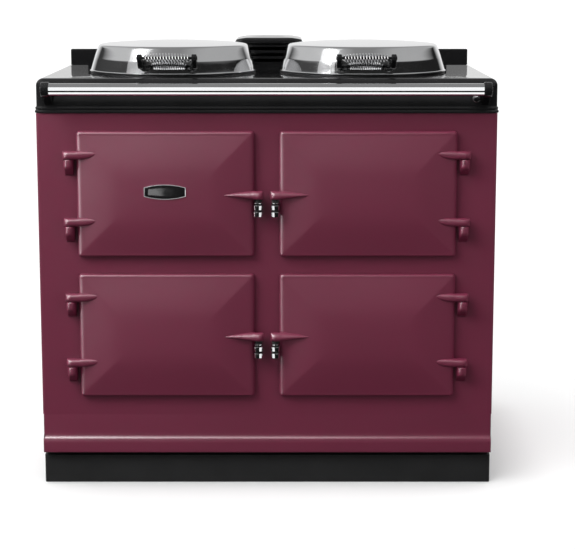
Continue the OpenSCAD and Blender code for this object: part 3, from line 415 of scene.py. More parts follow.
def cast_iron():
    """Bare cast iron: sand texture and a patchy dark grey."""
    f = Finish("cast_iron", (0.05, 0.05, 0.052), 0.62, metal=0.35)
    f.colour((22, 6, 0.65), (0.03, 0.03, 0.031), (0.07, 0.069, 0.068))
    f.roughness((90, 4), 0.52, 0.74)
    f.bump((900, 4, 0.7), 0.09, 0.6)
    return f.mat


def oven_enamel():
    """Grey-black vitreous enamel with the usual pale flecks."""
    f = Finish("oven_enamel", (0.02, 0.021, 0.024), 0.22, coat=0.3, coat_rough=0.1)
    flecks = f.cells(420, "Distance")
    f.colour(flecks, (0.3, 0.31, 0.33), (0.016, 0.017, 0.02), 0.1, 0.2)
    f.roughness((60, 4), 0.16, 0.32)
    f.bump((120, 3), 0.05, 0.5)
    return f.mat


def rope_weave():
    """Braided glass rope: strands cross at two slants round the rope, with loose fibres. It is darker where
    the weave is low: painted shade between the strands.
    """
    f = Finish("rope_weave", (0.62, 0.6, 0.54), 0.9, spec=0.2)
    both = f.new("Math")
    both.operation = "MAXIMUM"
    for socket, slant in zip(both.inputs, (8, -8)):
        f.link(f.slanted_bands(f.place((300, slant, 1), "UV")), socket)
    # Darker where the weave is low: painted shade between the strands.
    f.colour(both.outputs[0], (0.32, 0.3, 0.26), (0.68, 0.66, 0.6), 0.2, 0.9)
    f.bump(both.outputs[0], 0.5, 0.8)
    f.bump((1800, 3, 0.7), 0.08, 0.6)
    return f.mat


def mineral_wool():
    """Pressed wool: long fibres over soft tufts."""
    f = Finish("mineral_wool", (0.6, 0.5, 0.28), 0.95, spec=0.1)
    fibre = f.noise(160, 8, 0.75, at=f.place((1, 1, 6)), distortion=2)
    f.colour(fibre, (0.4, 0.31, 0.14), (0.72, 0.63, 0.4))
    f.bump(fibre, 1.2, 0.8)
    return f.mat


def black_plastic():
    """Moulded thermoset plastic with a fine spark-eroded grain."""
    f = Finish("black_plastic", (0.02, 0.02, 0.021), 0.42)
    f.colour((40, 3), (0.016, 0.016, 0.017), (0.024, 0.024, 0.025))
    f.roughness((300, 3), 0.36, 0.48)
    f.bump((2200, 2), 0.03, 0.5)
    return f.mat


def pale_marks():
    """Printed dial marks: off-white ink with a slightly uneven edge sheen."""
    f = Finish("pale_marks", (0.7, 0.69, 0.66), 0.55)
    f.colour((600, 3), (0.6, 0.59, 0.56), (0.74, 0.73, 0.7))
    f.roughness((900, 2), 0.5, 0.62)
    return f.mat


BURGUNDY = burgundy_enamel()
BLACK = black_enamel()
SATIN = satin_black()
CHROME = chrome()
CHROME_WIRE = chrome("chrome_wire", (0.08, 0.16), (0.8, 0.81, 0.82))
SPUN_IRON = spun_metal("machined_iron", (0.17, 0.17, 0.175), 0.42, 260)
SPUN_ALUMINIUM = spun_metal("spun_aluminium", (0.6, 0.61, 0.62), 0.34, 200, 0.5)
STEEL = steel()
ZINC = zinc_sheet()
IRON = cast_iron()
OVEN = oven_enamel()
ROPE = rope_weave()
WOOL = mineral_wool()
PLASTIC = black_plastic()
MARKS = pale_marks()

for nodes, finish in (
    ("plinth base_plate latch_catches control_panel cable_gland", SATIN),
    ("front_panel side_panels skirt hinge_brackets", BURGUNDY),
    ("top_plate rear_ledge vent_cowl vent_cap rail_brackets lid_brackets", BLACK),
    ("levelling_feet hinge_pins lid_pins heating_elements", STEEL),
    ("back_panel flue_duct control_box", ZINC),
    ("roasting_oven baking_oven simmering_oven", OVEN),
    ("oven_shelves towel_rail apron_stud", CHROME_WIRE),
    ("hotplates", IRON),
    ("insulation", WOOL),
    ("knob_left knob_right", PLASTIC),
):
    for node in nodes.split():
        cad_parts[node].data.materials.clear()
        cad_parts[node].data.materials.append(finish)


# ---- casing

def side_view(points):
    """Turns (distance in front of the panel, height) into (Y, Z)."""
    p = np.asarray(points, float)
    return coords(Y_FRONT - p[:, 0], p[:, 1])


def skirt():
    """Skirt moulding: a side view drawn out along X. The cove goes out from the panel's face as a high
    power of the drop, to a rounded ledge, and below it stands a band with rounded edges."""
    t = np.linspace(0, 1, 24)
    half, ledge, drop, power = 491.5, 9.4, 56, 16
    cove = coords(ledge * t ** power, Z_FRONT - drop * t)
    band = rounded_polygon([(12, 98.4), (12, Z_SKIRT), (-12, Z_SKIRT), (-12, Z_FRONT)], (5, 3, 1, 1), 7)
    loop = side_view(join(cove[:-1], band))
    piece("skirt_moulding", [slab(loop, -half, half, 1.2)], BURGUNDY, "burgundy_enamel", "skirt")


def plate_outline(out):
    """Plan of the top plate: a rectangle with round front corners, grown by out at the front and sides but
    not at the back, where it is cut straight."""
    w, y0, r = BODY_W / 2 + out, Y_FRONT - out, PLATE_CORNER + out
    front = join(arc((r - w, y0 + r), r, 180, 270, 12), arc((w - r, y0 + r), r, 270, 360, 12))
    side = np.linspace(y0 + r, Y_BACK, 8)[1:]
    right = coords(np.full(7, w), side)
    back = coords(np.linspace(w, -w, 14)[1:-1], np.full(12, Y_BACK))
    left = coords(np.full(7, -w), side[::-1])
    return join(front, right, back, left)


def top_plate():
    """Top plate: its plan is carried up the apron's moulded section, a lip, a bead, an upright face and a
    quarter circle, and then in over the flat top."""
    moulding = [(-40, 0.5), (3, 0.3), (3.7, 0.8), (4, 1.6), (4, 4.2), (3.6, 5.2), (2.6, 5.9), (2.1, 6.6),
                (2.1, 7.6), (2.6, 8.4), (2.9, 9.4), (2.9, 11.2), (2.4, 12.4), (1.2, 13.2), (0.6, 14.2),
                (0.5, 16), (0.5, 36), (0.5, 56)]
    edge = arc((-15.5, 58), 16, 0, 90, 10)
    section = join(moulding, edge, [(-17.5, 74), (1e-3 - PLATE_CORNER, 74)])
    rows = [flat(plate_outline(o), Z_APRON + z) for o, z in section]
    last = rows[-1]
    middle = np.array([0, 20, 0])
    rows += [middle + (last - middle) * (s, s, 1) for s in (0.97, 0.9, 0.5)]
    piece("top_plate_casting", [skin(rows)], BLACK, "black_enamel", "top_plate", smooth=60)


def rear_ledge():
    """Rear ledge: a side view with a sloping top, drawn out along X with rounded ends and edges."""
    half, y0, y1 = 480, 186.5, 346.5
    loop = rounded_polygon([(y0, Z_PLATE), (y0, Z_PLATE + 39.5), (y1, Z_PLATE + 23.5), (y1, Z_PLATE)],
                           (0.5, 5, 6, 0.5), 8)
    piece("rear_ledge_casting", [slab(loop, -half, half, 4, 6)], BLACK, "black_enamel", "rear_ledge")


def vent_cap():
    """Cowl cap: a round-cornered plan drawn in towards its middle. The height is a parabola across X over
    the edge's quarter circle."""
    half, edge_z, side_z, crown = 80, 4, 10.2, 7.6
    outline = rounded_rect(2 * half, 148, 20, 12)
    a = np.radians(np.linspace(0, 90, 8))
    shrink = join(1 - 0.07 * (1 - np.cos(a)), [0.9, 0.75, 0.5, 0.2])
    rise = join(np.sin(a), np.ones(4))
    loops = [flat(outline * k, z) for k, z in ((0.955, 0.0), (0.985, 0.6), (1.0, 2.5))]
    for k, up in zip(shrink, rise):
        x = outline[:, 0] * k
        top = side_z + crown * (1 - (x / half) ** 2)
        loops.append(np.column_stack([outline * k, edge_z + (top - edge_z) * up]))
    at = (0, 190.5, Z_PLATE + 54.2)
    piece("vent_cap_crown", [skin(np.array(loops) + at)], BLACK, "black_enamel", "vent_cap", smooth=50)


def towel_rail():
    """Rail: a circle drawn out along X, its ends turned in."""
    half = 466
    prof = [(0, -half), (11, -half), (13, 1.5 - half), (13, 0), (13, half - 1.5), (11, half), (0, half)]
    tube = turned(lathe(prof, 64), "+x", (0, *RAIL))
    piece("towel_rail_tube", [tube], CHROME, "chrome", "towel_rail")


def end_posts(loop, near, far, edge, steps, cap, cap_at):
    """Two posts with one side view, at both ends of a bar, each with a turned cap on its outside."""
    skins = []
    for side, axis in ((-1, "-x"), (1, "+x")):
        low, high = sorted((side * near, side * far))
        skins.append(slab(loop, low, high, edge, steps))
        skins.append(turned(cap, axis, (side * cap_at[0], *cap_at[1:])))
    return skins


def rail_brackets():
    """Rail brackets: a boss round the rail's end and a curved arm back to a foot on the apron, drawn out
    along X with rounded edges."""
    foot = Y_FRONT + 1 - RAIL[0]
    boss = arc(RAIL, 16, 100, 285, 22)
    arm = np.array([(12, -17), (24, -23), (foot - 8, -33), (foot, -37), (foot, 3), (foot - 9, 7), (18, 13),
                    (6, 15.5)]) + RAIL
    cap = lathe([(0, 0), (7, 0), (7, 1.2), (5.5, 2.2), (0, 2.6)], 32)
    posts = end_posts(join(boss, arm), 457, 474, 2.6, 5, cap, (473.6, *RAIL))
    piece("rail_bracket_pair", posts, BLACK, "black_enamel", "rail_brackets")


def apron_stud():
    """Stud: a turned profile whose rim is fluted all round."""
    prof = [(0, -0.5), (6.5, -0.5), (7.2, 1), (7.4, 2.6), (9.0, 4), (9.5, 5), (9.5, 12), (9.0, 13.4),
            (7, 14.8), (3, 15.6), (0, 15.8)]
    stud = turned(lathe(prof, 120, flutes=20, depth=0.12, part=(4, 8)), "-y", (446, Y_FRONT - 0.5, 851))
    piece("apron_stud_fluted", [stud], CHROME, "chrome", "apron_stud")


def back_details():
    """Pressed hoods over the back panel's slots, and round-headed screws along its edges. A hood's section
    is a quarter of an ellipse that opens downwards and dies away at both ends."""
    y, hood_x, half, heights = 338.5, 974.4 * 0.185, 81, range(330, 523, 24)
    skins = []
    u = np.linspace(-1, 1, 25)
    swell = np.sqrt(np.maximum(1 - u ** 4, 0))
    a = np.radians(join(np.linspace(0, 90, 7), [90, 0]))
    out = join(6.5 * np.sin(a[:7]), [5.4, 0.2])
    up = join(7 * np.cos(a[:7]), [-0.4, 5.4])
    for side in (-1, 1):
        for z in heights:
            x = side * hood_x + u * half
            rows = coords(np.repeat(x[:, None], 9, 1), y + 0.1 + out[None] * swell[:, None],
                          z - 1 + up[None] * (0.4 + 0.6 * swell[:, None]))
            skins.append(skin(rows))
    piece("back_panel_hoods", skins, ZINC, "zinc_sheet", smooth=50)
    head = [(0, 0), (5.2, 0), (5.4, 0.6), (4.6, 2.4), (2.4, 3.2), (1.6, 3.2), (1.4, 2.2), (0, 2.2)]
    spots = [(x, z) for x in (-470, 470) for z in (100, 340, 580, 800)]
    spots += [(x, z) for x in (-235, 0, 235) for z in (86, 806)]
    piece("back_panel_screws", [turned(lathe(head, 24), "+y", (x, y, z)) for x, z in spots], STEEL, "steel")


# ---- doors

def door_grid():
    """Distances across a door, close together at its edges and even between."""
    edge = np.array([0, 0.4, 0.9, 1.5, 2.2, 3, 4, 5, 6, 7, 8.2, 9.6, 11.4, 14])

    def across(span, count):
        half = span / 2
        mid = np.linspace(-half + 18, half - 18, count)
        return join(edge - half, mid, half - edge[::-1])
    return across(DOOR_W, 112), across(DOOR_H, 78)


def soft(x, k):
    """x above nothing and 0 below it, with a rounded bend of size k: half of x plus a hyperbola."""
    return 0.5 * (x + np.sqrt(x * x + k * k))


def door_face(x, z):
    """Depth of a door's face: a rim, a bevel that rises with the distance to the nearest edge and has soft
    ends, and over it all a crown that is a product of two parabolas, less a quarter ellipse at the rim, wider
    at the sides than at the top and bottom. The nearest edge is blended a little along the mitres."""
    hx, hz, r, k = DOOR_W / 2, DOOR_H / 2, DOOR_CORNER, 0.9
    rim_y, rim_fall, rim_wide, sides_wider = 15, 8, 5, 6
    bevel_rise, start, stop, start_soft, stop_soft, crown_rise = 11.2, 7, 80, 2.5, 22, 5
    tx, tz = hx - np.abs(x), hz - np.abs(z)
    t = tx - k * np.log(1 + np.exp(np.minimum((tx - tz) / k, 300)))
    bevel = (soft(t - start, start_soft) - soft(t - stop, stop_soft)) / (stop - start) * bevel_rise
    crown = crown_rise * (1 - (x / hx) ** 2) * (1 - (z / hz) ** 2)
    qx, qz = np.abs(x) - (hx - r), np.abs(z) - (hz - r)
    inside = r - np.hypot(np.maximum(qx, 0), np.maximum(qz, 0)) - np.minimum(np.maximum(qx, qz), 0)
    wide = rim_wide + sides_wider / (1 + np.exp(np.clip((tx - tz) / 3, -50, 50)))
    out = 1 - np.clip(inside / wide, 0, 1)
    return rim_y + bevel + crown - rim_fall * (1 - np.sqrt(np.maximum(1 - out ** 2, 0)))


def door_slab():
    """Door: the face over a grid whose corner squares are bent to quarter circles, then the side wall, the
    back with the groove for the rope seal, and a flat middle behind the liner."""
    x, z = np.meshgrid(*door_grid(), indexing="ij")
    r = DOOR_CORNER
    qx, qz = (np.abs(x) - (DOOR_W / 2 - r)) / r, (np.abs(z) - (DOOR_H / 2 - r)) / r
    corner = (qx > 0) & (qz > 0)
    scale = np.where(corner, np.maximum(qx, qz) / np.maximum(np.hypot(qx, qz), 1e-9), 1)
    bx = np.where(corner, np.sign(x) * (DOOR_W / 2 - r + qx * scale * r), x)
    bz = np.where(corner, np.sign(z) * (DOOR_H / 2 - r + qz * scale * r), z)
    grid = coords(bx, -door_face(bx, bz), bz)
    back = ((0, -6), (0, -3), (0.4, -1.6), (1.4, -1), (3.6, -1), (3.8, -5.2), (12.2, -5.2), (12.4, -1),
            (30, -1), (34, -1.2))
    rim = border(grid)
    rows = [rim * (1 - inner / (DOOR_W / 2), 0, 1 - inner / (DOOR_H / 2)) + (0, y, 0) for inner, y in back]
    return blanket(grid, np.array(rows))


def bar(x, front, back, half, power, steps=36):
    """A cast bar along X: at each place its section is a superellipse between a front and a back depth, of a
    given half height."""
    a = around(steps)
    y, z = bulge(np.cos(a), 2 / power), bulge(np.sin(a), 2 / power)
    mid, deep = (front + back) / 2, np.maximum(np.abs(back - front) / 2, 0.05)
    return coords(np.repeat(x[:, None], steps, 1), mid[:, None] + deep[:, None] * y[None],
                  np.maximum(half, 0.05)[:, None] * z[None])


def lug(z0):
    """Hinge lug: a leaf that rises out of the door's slope, widens to the door's edge and ends in a knuckle
    round the pin, where its depth follows a circle."""
    reach = 50
    tip = DOOR_W / 2 - reach
    x = join(tip + (HINGE_X - tip) * (1 - np.cos(np.linspace(0, np.pi / 2, 30))) ** 0.8,
             HINGE_X + KNUCKLE_R * np.sin(np.linspace(0.06, np.pi / 2, 12)))
    run = np.clip((x - tip) / (DOOR_W / 2 - tip), 0, 1)
    low, high, power, lift = 19.6, 28, 2.4, 0.7
    ridge = low + (high - low) * np.clip((x - tip) / (HINGE_X - tip), 0, 1) ** 0.9
    circle = np.sqrt(np.maximum(KNUCKLE_R ** 2 - np.maximum(x - HINGE_X, 0) ** 2, 0))
    beyond = x > HINGE_X
    front = np.where(beyond, -HINGE_OUT - circle, -ridge)
    back = np.where(beyond, -HINGE_OUT + circle, np.where(x > DOOR_W / 2 - 2, -4.2, -8))
    half = CAST_HALF * np.sin(run * np.pi / 2) ** 0.5
    rows = bar(x, front, back, half, power)
    rows[..., 2] += z0 + lift * (CAST_HALF - half[:, None])
    return skin(rows)


def latch_arm():
    """Latch arm: a spear that rises out of the door's slope to full height at its edge and runs on to a
    rounded boss. Its nose is sheared down in proportion to its reach, so that the upper side leans back."""
    reach, low, high, power, shear = 74, 23.6, 34, 2.1, 2.6
    tip, edge = reach - DOOR_W / 2, -DOOR_W / 2
    x = join(np.linspace(tip, edge, 26), np.linspace(edge, -BOSS_X, 8)[1:],
             -BOSS_X - BOSS_R * np.sin(np.linspace(0.08, np.pi / 2, 12)))
    run = np.clip((tip - x) / (tip - edge), 0, 1)
    ridge = low + (high - low) * np.clip((tip - x) / (tip + BOSS_X), 0, 1) ** 0.8
    over = np.maximum(-BOSS_X - x, 0)
    circle = np.sqrt(np.maximum(BOSS_R ** 2 - over ** 2, 0))
    beyond = over > 0
    front = np.where(beyond, BOSS_Y - circle, -ridge)
    back = np.where(beyond, BOSS_Y + circle, np.where(x < edge + 2, BOSS_Y + BOSS_R, -8))
    half = CAST_HALF * run ** 0.7
    rows = bar(x, front, back, half, power)
    ahead = np.clip((BOSS_Y - rows[..., 1]) / BOSS_R, 0, 1)
    rows[..., 2] -= shear * ahead * run[:, None]
    return skin(rows)


def barrel_outline(w, h, end_h, steps=40):
    """Badge outline: flat upright ends, and a top and bottom that bow out as parabolas."""
    x = np.linspace(-w / 2, w / 2, steps)
    y = end_h / 2 + (h - end_h) / 2 * (1 - (2 * x / w) ** 2)
    return join(coords(x, -y), coords(x[::-1], y[::-1]))


def badge():
    """Bare badge: a chrome rim with a rounded top round a slightly domed black plate."""
    at = (-DOOR_X, Y_FRONT - 29.6, DOOR_Z["top"] + 8)
    outer = barrel_outline(90, 33, 20)
    levels = [(0.5, 0), (0, 0.6), (0, 1.8), (0.3, 2.5), (0.9, 2.95), (1.6, 2.8), (2.1, 2.2), (2.2, 1.5),
              (2.2, 0)]
    rim = np.array([upright(inset(outer, i), -d) for i, d in levels])
    piece("badge_rim_band", [skin(rim + at, ring=True)], CHROME, "chrome", "badge_rim",
          body="door_top_left", smooth=60)
    inner = inset(outer, 2.3)
    dome = ((1, 0), (1, 1.5), (0.98, 1.8), (0.8, 2.1), (0.4, 2.3), (0.1, 2.35))
    plate = np.array([upright(inner * k, -d) for k, d in dome])
    piece("badge_plain_plate", [skin(plate + at)], BLACK, "black_enamel", "badge_plate",
          body="door_top_left", smooth=60)


def liner():
    """Door liner: a pressed pan. Its round-cornered outline runs back from the door, turns in over a rounded
    edge and steps down to a sunk panel."""
    levels = [(0, -1), (0, 20), (0, 32), (0.8, 35.6), (2.6, 38), (5.5, 39), (20, 39), (23, 38.4), (25.5, 36),
              (28.5, 35.2), (60, 35), (100, 35)]
    w, h, r = 326, 217.5, 14.5
    return skin([upright(rounded_rect(w - 2 * i, h - 2 * i, max(r - i * 0.25, 4), 9), y) for i, y in levels])


def rope_seal():
    """Rope seal: a flattened round section carried round the door's groove."""
    path = rounded_rect(OPENING_W + 14, OPENING_H + 14, 15, 14)
    a = around(12)
    half_w, half_h, middle = 4, 2.3, -2.65
    out, up = -half_w * bulge(np.cos(a), 0.8), middle + half_h * bulge(np.sin(a), 0.8)
    rows = np.array([upright(inset(path, o), u) for o, u in zip(out, up)])
    return skin(rows.transpose(1, 0, 2), ring=True)


LATCH_AT = (-BOSS_X, BOSS_Y, -9.2)


def latch_handle():
    """Latch handle: a ring and two barrels turned about the core's axis, each a closed band."""
    bands = []
    for top, low, radius in ((-6.4, -8.6, 8.6), (-12, -22, 9.8), (-26.2, -36.8, 9.8)):
        section = rounded_polygon([(5, top), (radius, top), (radius, low), (5, low)], (0.4, 1, 1, 0.4), 5)
        bands.append(turned(lathe(section, 48), "+z", LATCH_AT, ring=True))
    return bands


def latch_shade_core():
    """Latch core: a turned pin in black, painted shade for the dark neck and grooves between the chrome
    bands.
    """
    pin = [(0, 0), (5.6, 0), (5.6, -4.6), (7, -5.4), (7, -30), (0, -30)]
    return turned(lathe(pin, 32), "+z", LATCH_AT)


def at_door(skin_parts, side, row):
    """Moves a skin from a door's own frame, hinge towards +X, to its place on the cooker."""
    points, faces, uvs = skin_parts
    p = points.copy()
    p[:, 0] = side * (DOOR_X + p[:, 0])
    p[:, 1] += Y_FRONT
    p[:, 2] += DOOR_Z[row]
    return p, faces, uvs


def doors():
    """The four doors, each with its liner, seal and latch."""
    castings = [door_slab(), latch_arm(), *(lug(z) for z in LUGS)]
    for row in ROWS:
        for side, word in HANDS:
            key = f"{row}_{word}"
            for name, skins, finish, slot, node, smooth in (
                    ("door_casting_", castings, BURGUNDY, "burgundy_enamel", "door_", 50),
                    ("door_liner_", [liner()], SPUN_ALUMINIUM, "steel", "liner_", 40),
                    ("door_rope_", [rope_seal()], ROPE, "rope", "seal_", 80),
                    ("latch_handle_", latch_handle(), CHROME, "chrome", "handle_", 40),
                    # The core is black: painted shade for the dark neck and grooves of the chrome handle.
                    ("latch_core_", [latch_shade_core()], SATIN, "chrome", "handle_", 40)):
                placed = [at_door(s, side, row) for s in skins]
                piece(name + key, placed, finish, slot, node + key, body="door_" + key, smooth=smooth)


def hinge_brackets():
    """Hinge brackets: the plan is a bullet from the panel to a round front. Down its height the front first
    stays, then draws back to the panel."""
    half, below = 10.8, 9.4
    a = np.linspace(0, np.pi, 20)
    front = coords(half * bulge(np.cos(a), 0.75), np.sin(a) ** 0.62)
    heights = [(0, 0.9, 26.0), (-0.5, 0.97, 26.7), (-1.6, 1, 27), (-12, 1, 27), (-16, 1, 26.6),
               (-20, 0.98, 23), (-23, 0.96, 18.5), (-27, 0.92, 11.5), (-31, 0.88, 6), (-35, 0.84, 1.5)]
    rows = np.array([flat(join(front * (k, -reach), [(-8 * k, 1), (8 * k, 1)]), z)
                     for z, k, reach in heights])
    skins = [at_door(skin(rows + (HINGE_X, 0, z - below)), side, row)
             for row in ROWS for side, _ in HANDS for z in LUGS]
    piece("hinge_bracket_set", skins, BURGUNDY, "burgundy_enamel", "hinge_brackets", smooth=55)


# ---- hotplates and lids

def lid_profile():
    """Outside of a lid from the middle of its crown: a shallow crown, a round shoulder, a straight upper
    slope, a soft fold, the lower slope and a rolled rim, then a return inside."""
    top, edge, fall = 71.2, 158, 7
    crown_r = np.linspace(0, edge, 14)
    crown = coords(crown_r, top - fall * (crown_r / edge) ** 2)
    shoulder = rounded_polygon([(158, 64.2), (167.4, 62.6), (176.8, 38.8), (158, 40)], (4, 6, 4, 4), 9)[9:18]
    upper = [(172, 51), (175.4, 42.4), (178.4, 34.6), (179.1, 32.9), (179.7, 31.1)]
    lower = [(181.8, 24), (184.2, 16), (186.1, 9.6), (186.8, 7.4)]
    roll = arc((187.4, 5.4), 1.9, 60, -120, 10)
    inside = [(184, 4.6), (184, 10), (120, 12), (0, 12)]
    return join(crown, shoulder, upper, lower, roll, inside)


def coil():
    """Coil handle: a helix about X whose radius is a parabola, widest in the middle, with its ends run
    straight. A ring of the wire turns between the outward direction and the one square to it and the run."""
    wire, turns, half, reach = 1.65, 15, 48.2, 53
    t = np.linspace(0, 1, turns * 28 + 1)
    a = TAU * turns * t
    x = -half + 2 * half * t
    radius = 5.8 + 3.2 * (1 - (x / half) ** 2)
    centre = coords(x, radius * np.cos(a), radius * np.sin(a))
    ends = np.array([[-reach, radius[0], 0], [reach, radius[0], 0]])
    centre = join(ends[:1], centre, ends[1:])
    turn = join([0], a, [a[-1]])
    out = coords(np.zeros_like(turn), np.cos(turn), np.sin(turn))
    run = np.gradient(centre, axis=0)
    run[[0, -1]] = (1, 0, 0)
    across = unit(np.cross(unit(run), out))
    b = around(10)[None, :, None]
    return centre[:, None] + wire * (np.cos(b) * out[:, None] + np.sin(b) * across[:, None])


def grip_posts():
    """Handle posts: a round head on the bar and an arm that curves back and down to the lid's side, drawn out
    along X with rounded edges."""
    head = arc(GRIP, 8.5, 75, 250, 20)
    arm = np.array([(4, -11), (14, -21), (24, -24.5), (34, -25), (36, -2), (26, 2.5), (12, 5.5)]) + GRIP
    cap = lathe([(0, 0), (4.6, 0), (4.6, 0.9), (3.6, 1.8), (0, 2.1)], 24)
    posts = end_posts(join(head, arm), 53, 64, 2.2, 4, cap, (63.4, *GRIP))
    rod = lathe([(0, -54), (3, -54), (3, 0), (3, 54), (0, 54)], 20)
    return [*posts, turned(rod, "+x", (0, *GRIP))]


def lid_arm():
    """Lid arm: two straps from knuckles on the pin to the lid's wall, and a bar between them."""
    strap = join(arc(LID_HINGE, 9, -100, 90, 18),
                 [(205, 35), (190, 35), (181, 34.5), (180, 12), (192, 12.5), (206, 15.5)])
    straps = [slab(strap, x - 7, x + 7, 2) for x in (-45, 45)]
    cross = rounded_polygon([(182, 17), (198.5, 17), (198.5, 28.5), (182, 28.5)], 2.5, 5)
    return [*straps, slab(cross, -45, 45, 0.5, 3)]


def moved(skins, by):
    """Skins moved by one step."""
    return [(p + np.asarray(by, float), f, u) for p, f, u in skins]


def hotplate():
    """Hotplate: a disc with a rim flange and a round edge. Its top is ground flat, in rings."""
    radii = np.linspace(180, 0, 40)
    top = coords(radii, np.full(40, 2.7))
    edge = [(0, -39), (181, -39), (181, 0.2), (186.2, 0.3), (186.5, 0.8), (186.4, 1.8), (185.6, 2.3),
            (183.2, 2.4), (182.4, 2.2), (181.6, 2.2), (180.8, 2.6)]
    return skin(lathe(join(edge, top), 128))


def lid_liner():
    """Lid liner: a spun disc with two shallow beads on its underside."""
    r = np.linspace(176, 0, 60)
    high, wide = 1.1, 4
    bead = high * np.exp(-((r - 140) / wide) ** 2) + high * np.exp(-((r - 60) / wide) ** 2)
    under = coords(r, 3.05 + bead)
    shell = [(0, 9.6), (184.6, 9.6), (184.8, 9.2), (184.8, 8.2), (184.2, 8), (177.5, 7.8), (176.5, 7.2),
             (176.3, 4.4)]
    return skin(lathe(join(shell, under), 128))


def lids():
    """The two lids with their handles and hinges, and the hotplates under them."""
    dome = skin(lathe(lid_profile(), 160))
    wire = skin(coil() + (0, *GRIP))
    brackets = []
    for side, word in HANDS:
        at, lid = (side * LID_X, LID_Y, Z_PLATE), "lid_" + word
        for name, skins, finish, body, slot, node, smooth in (
                ("lid_dome_", [dome], CHROME, lid, "chrome", lid, 50),
                ("lid_lining_", [lid_liner()], SPUN_ALUMINIUM, lid, "steel", "lid_liner_" + word, 60),
                ("grip_posts_", grip_posts(), BLACK, lid, "black_enamel", "grip_bar_" + word, 40),
                ("coil_handle_", [wire], CHROME, lid, "chrome", "grip_coil_" + word, 80),
                ("lid_hinge_arm_", lid_arm(), BLACK, lid, "black_enamel", "lid_arm_" + word, 40),
                ("hotplate_", [hotplate()], SPUN_IRON, "cooker", "cast_iron", "hotplates", 50)):
            piece(name + word, moved(skins, at), finish, slot, node, body=body, smooth=smooth)
        brackets += moved(bracket_parts(), at)
    piece("lid_bracket_pair", brackets, BLACK, "black_enamel", "lid_brackets")


def bracket_parts():
    """Lid bracket: a base plate with two ears that round over the pin, and two screws."""
    y0, y1 = LID_HINGE[0] - 12, LID_HINGE[0] + 14
    base = rounded_rect(136, y1 - y0, 5, 6) + (0, (y0 + y1) / 2)
    ear = join(arc(LID_HINGE, 9, 0, 180, 20), [(y0 + 1, 8), (y0 + 0.5, 3), (y1 - 0.5, 3), (y1 - 1, 8)])
    ears = [slab(ear, x - 6, x + 6, 1.8) for x in (-62, 62)]
    head = [(0, 0), (4.2, 0), (4.3, 0.5), (3.6, 1.8), (1.8, 2.4), (1.2, 2.4), (1, 1.7), (0, 1.7)]
    screws = [turned(lathe(head, 24), "+z", (x, LID_HINGE[0] + 8, 3.9)) for x in (-28, 28)]
    return [slab(base, 0.1, 4, 1.4, plane="xy"), *ears, *screws]


# ---- controls

def controls():
    """Control knobs with fluted skirts and a pale pointer line, and dial marks on the panel round them."""
    z, back, dial_r = DOOR_Z["top"] - 8, PANEL_Y - 2, 26
    marks = []
    for side, word in HANDS:
        x, knob = -DOOR_X + side * KNOB_X, "knob_" + word
        prof = [(0, 0), (19.6, 0), (20, 0.6), (20, 3), (17.5, 4.6), (16.6, 6), (15.6, 19), (14.6, 21.2),
                (12.4, 22), (0, 22.2)]
        dial = turned(lathe(prof, 144, flutes=24, depth=0.07, part=(5, 7)), "-y", (x, back, z))
        grip = rounded_polygon([(-2.6, 4), (2.6, 4), (2.6, 17.5), (-2.6, 17.5)], 1.4, 4) + (x, z)
        ridge = slab(grip, back - 25, back - 20, 0.8, 3, "xz")
        piece("control_" + knob, [dial, ridge], PLASTIC, "black_plastic", knob, body=knob)
        line = rounded_rect(1.4, 10, 0.6, 4) + (x, z + 11)
        piece("knob_line_" + word, [slab(line, back - 25.2, back - 24.8, 0.1, 2, "xz")], MARKS,
              "black_plastic", body=knob)
        a = np.radians(np.linspace(-135, 135, 10))
        for angle, long in zip(a, (7, 4) * 5):
            tick = rounded_rect(1.2, long, 0.4, 3) + (0, dial_r + long / 2)
            c, s = np.cos(-angle), np.sin(-angle)
            tick = tick @ np.array([[c, s], [-s, c]]) + (x, z)
            marks.append(slab(tick, PANEL_Y - 0.25, PANEL_Y + 0.2, 0.05, 2, "xz"))
    piece("dial_marks", marks, MARKS, "satin_black")


skirt()
top_plate()
rear_ledge()
vent_cap()
towel_rail()
rail_brackets()
apron_stud()
back_details()
hinge_brackets()
doors()
badge()
lids()
controls()


# ---- floor, light and camera

def floor():
    """Pale floor. The camera sees a little light added to it, so that it reads as white where it is lit."""
    mesh = bpy.data.meshes.new("studio_floor")
    s, glow_level = 60.0, 0.1
    mesh.from_pydata([(-s, -s, 0), (s, -s, 0), (s, s, 0), (-s, s, 0)], [], [(0, 1, 2, 3)])
    obj = stand("studio_floor", mesh)
    f = Finish("studio_floor", (0.8, 0.8, 0.8), 1.0, spec=0.0)
    path, seen, glow, both = f.new("LightPath"), f.new("Math"), f.new("Emission"), f.new("AddShader")
    seen.operation = "MULTIPLY"
    seen.inputs[1].default_value = glow_level
    f.link(path.outputs["Is Camera Ray"], seen.inputs[0])
    f.link(seen.outputs[0], glow.inputs["Strength"])
    f.link(f.shader.outputs[0], both.inputs[0])
    f.link(glow.outputs[0], both.inputs[1])
    f.link(both.outputs[0], f.tree.nodes["Material Output"].inputs["Surface"])
    mesh.materials.append(f.mat)
    obj.visible_diffuse = obj.visible_glossy = False


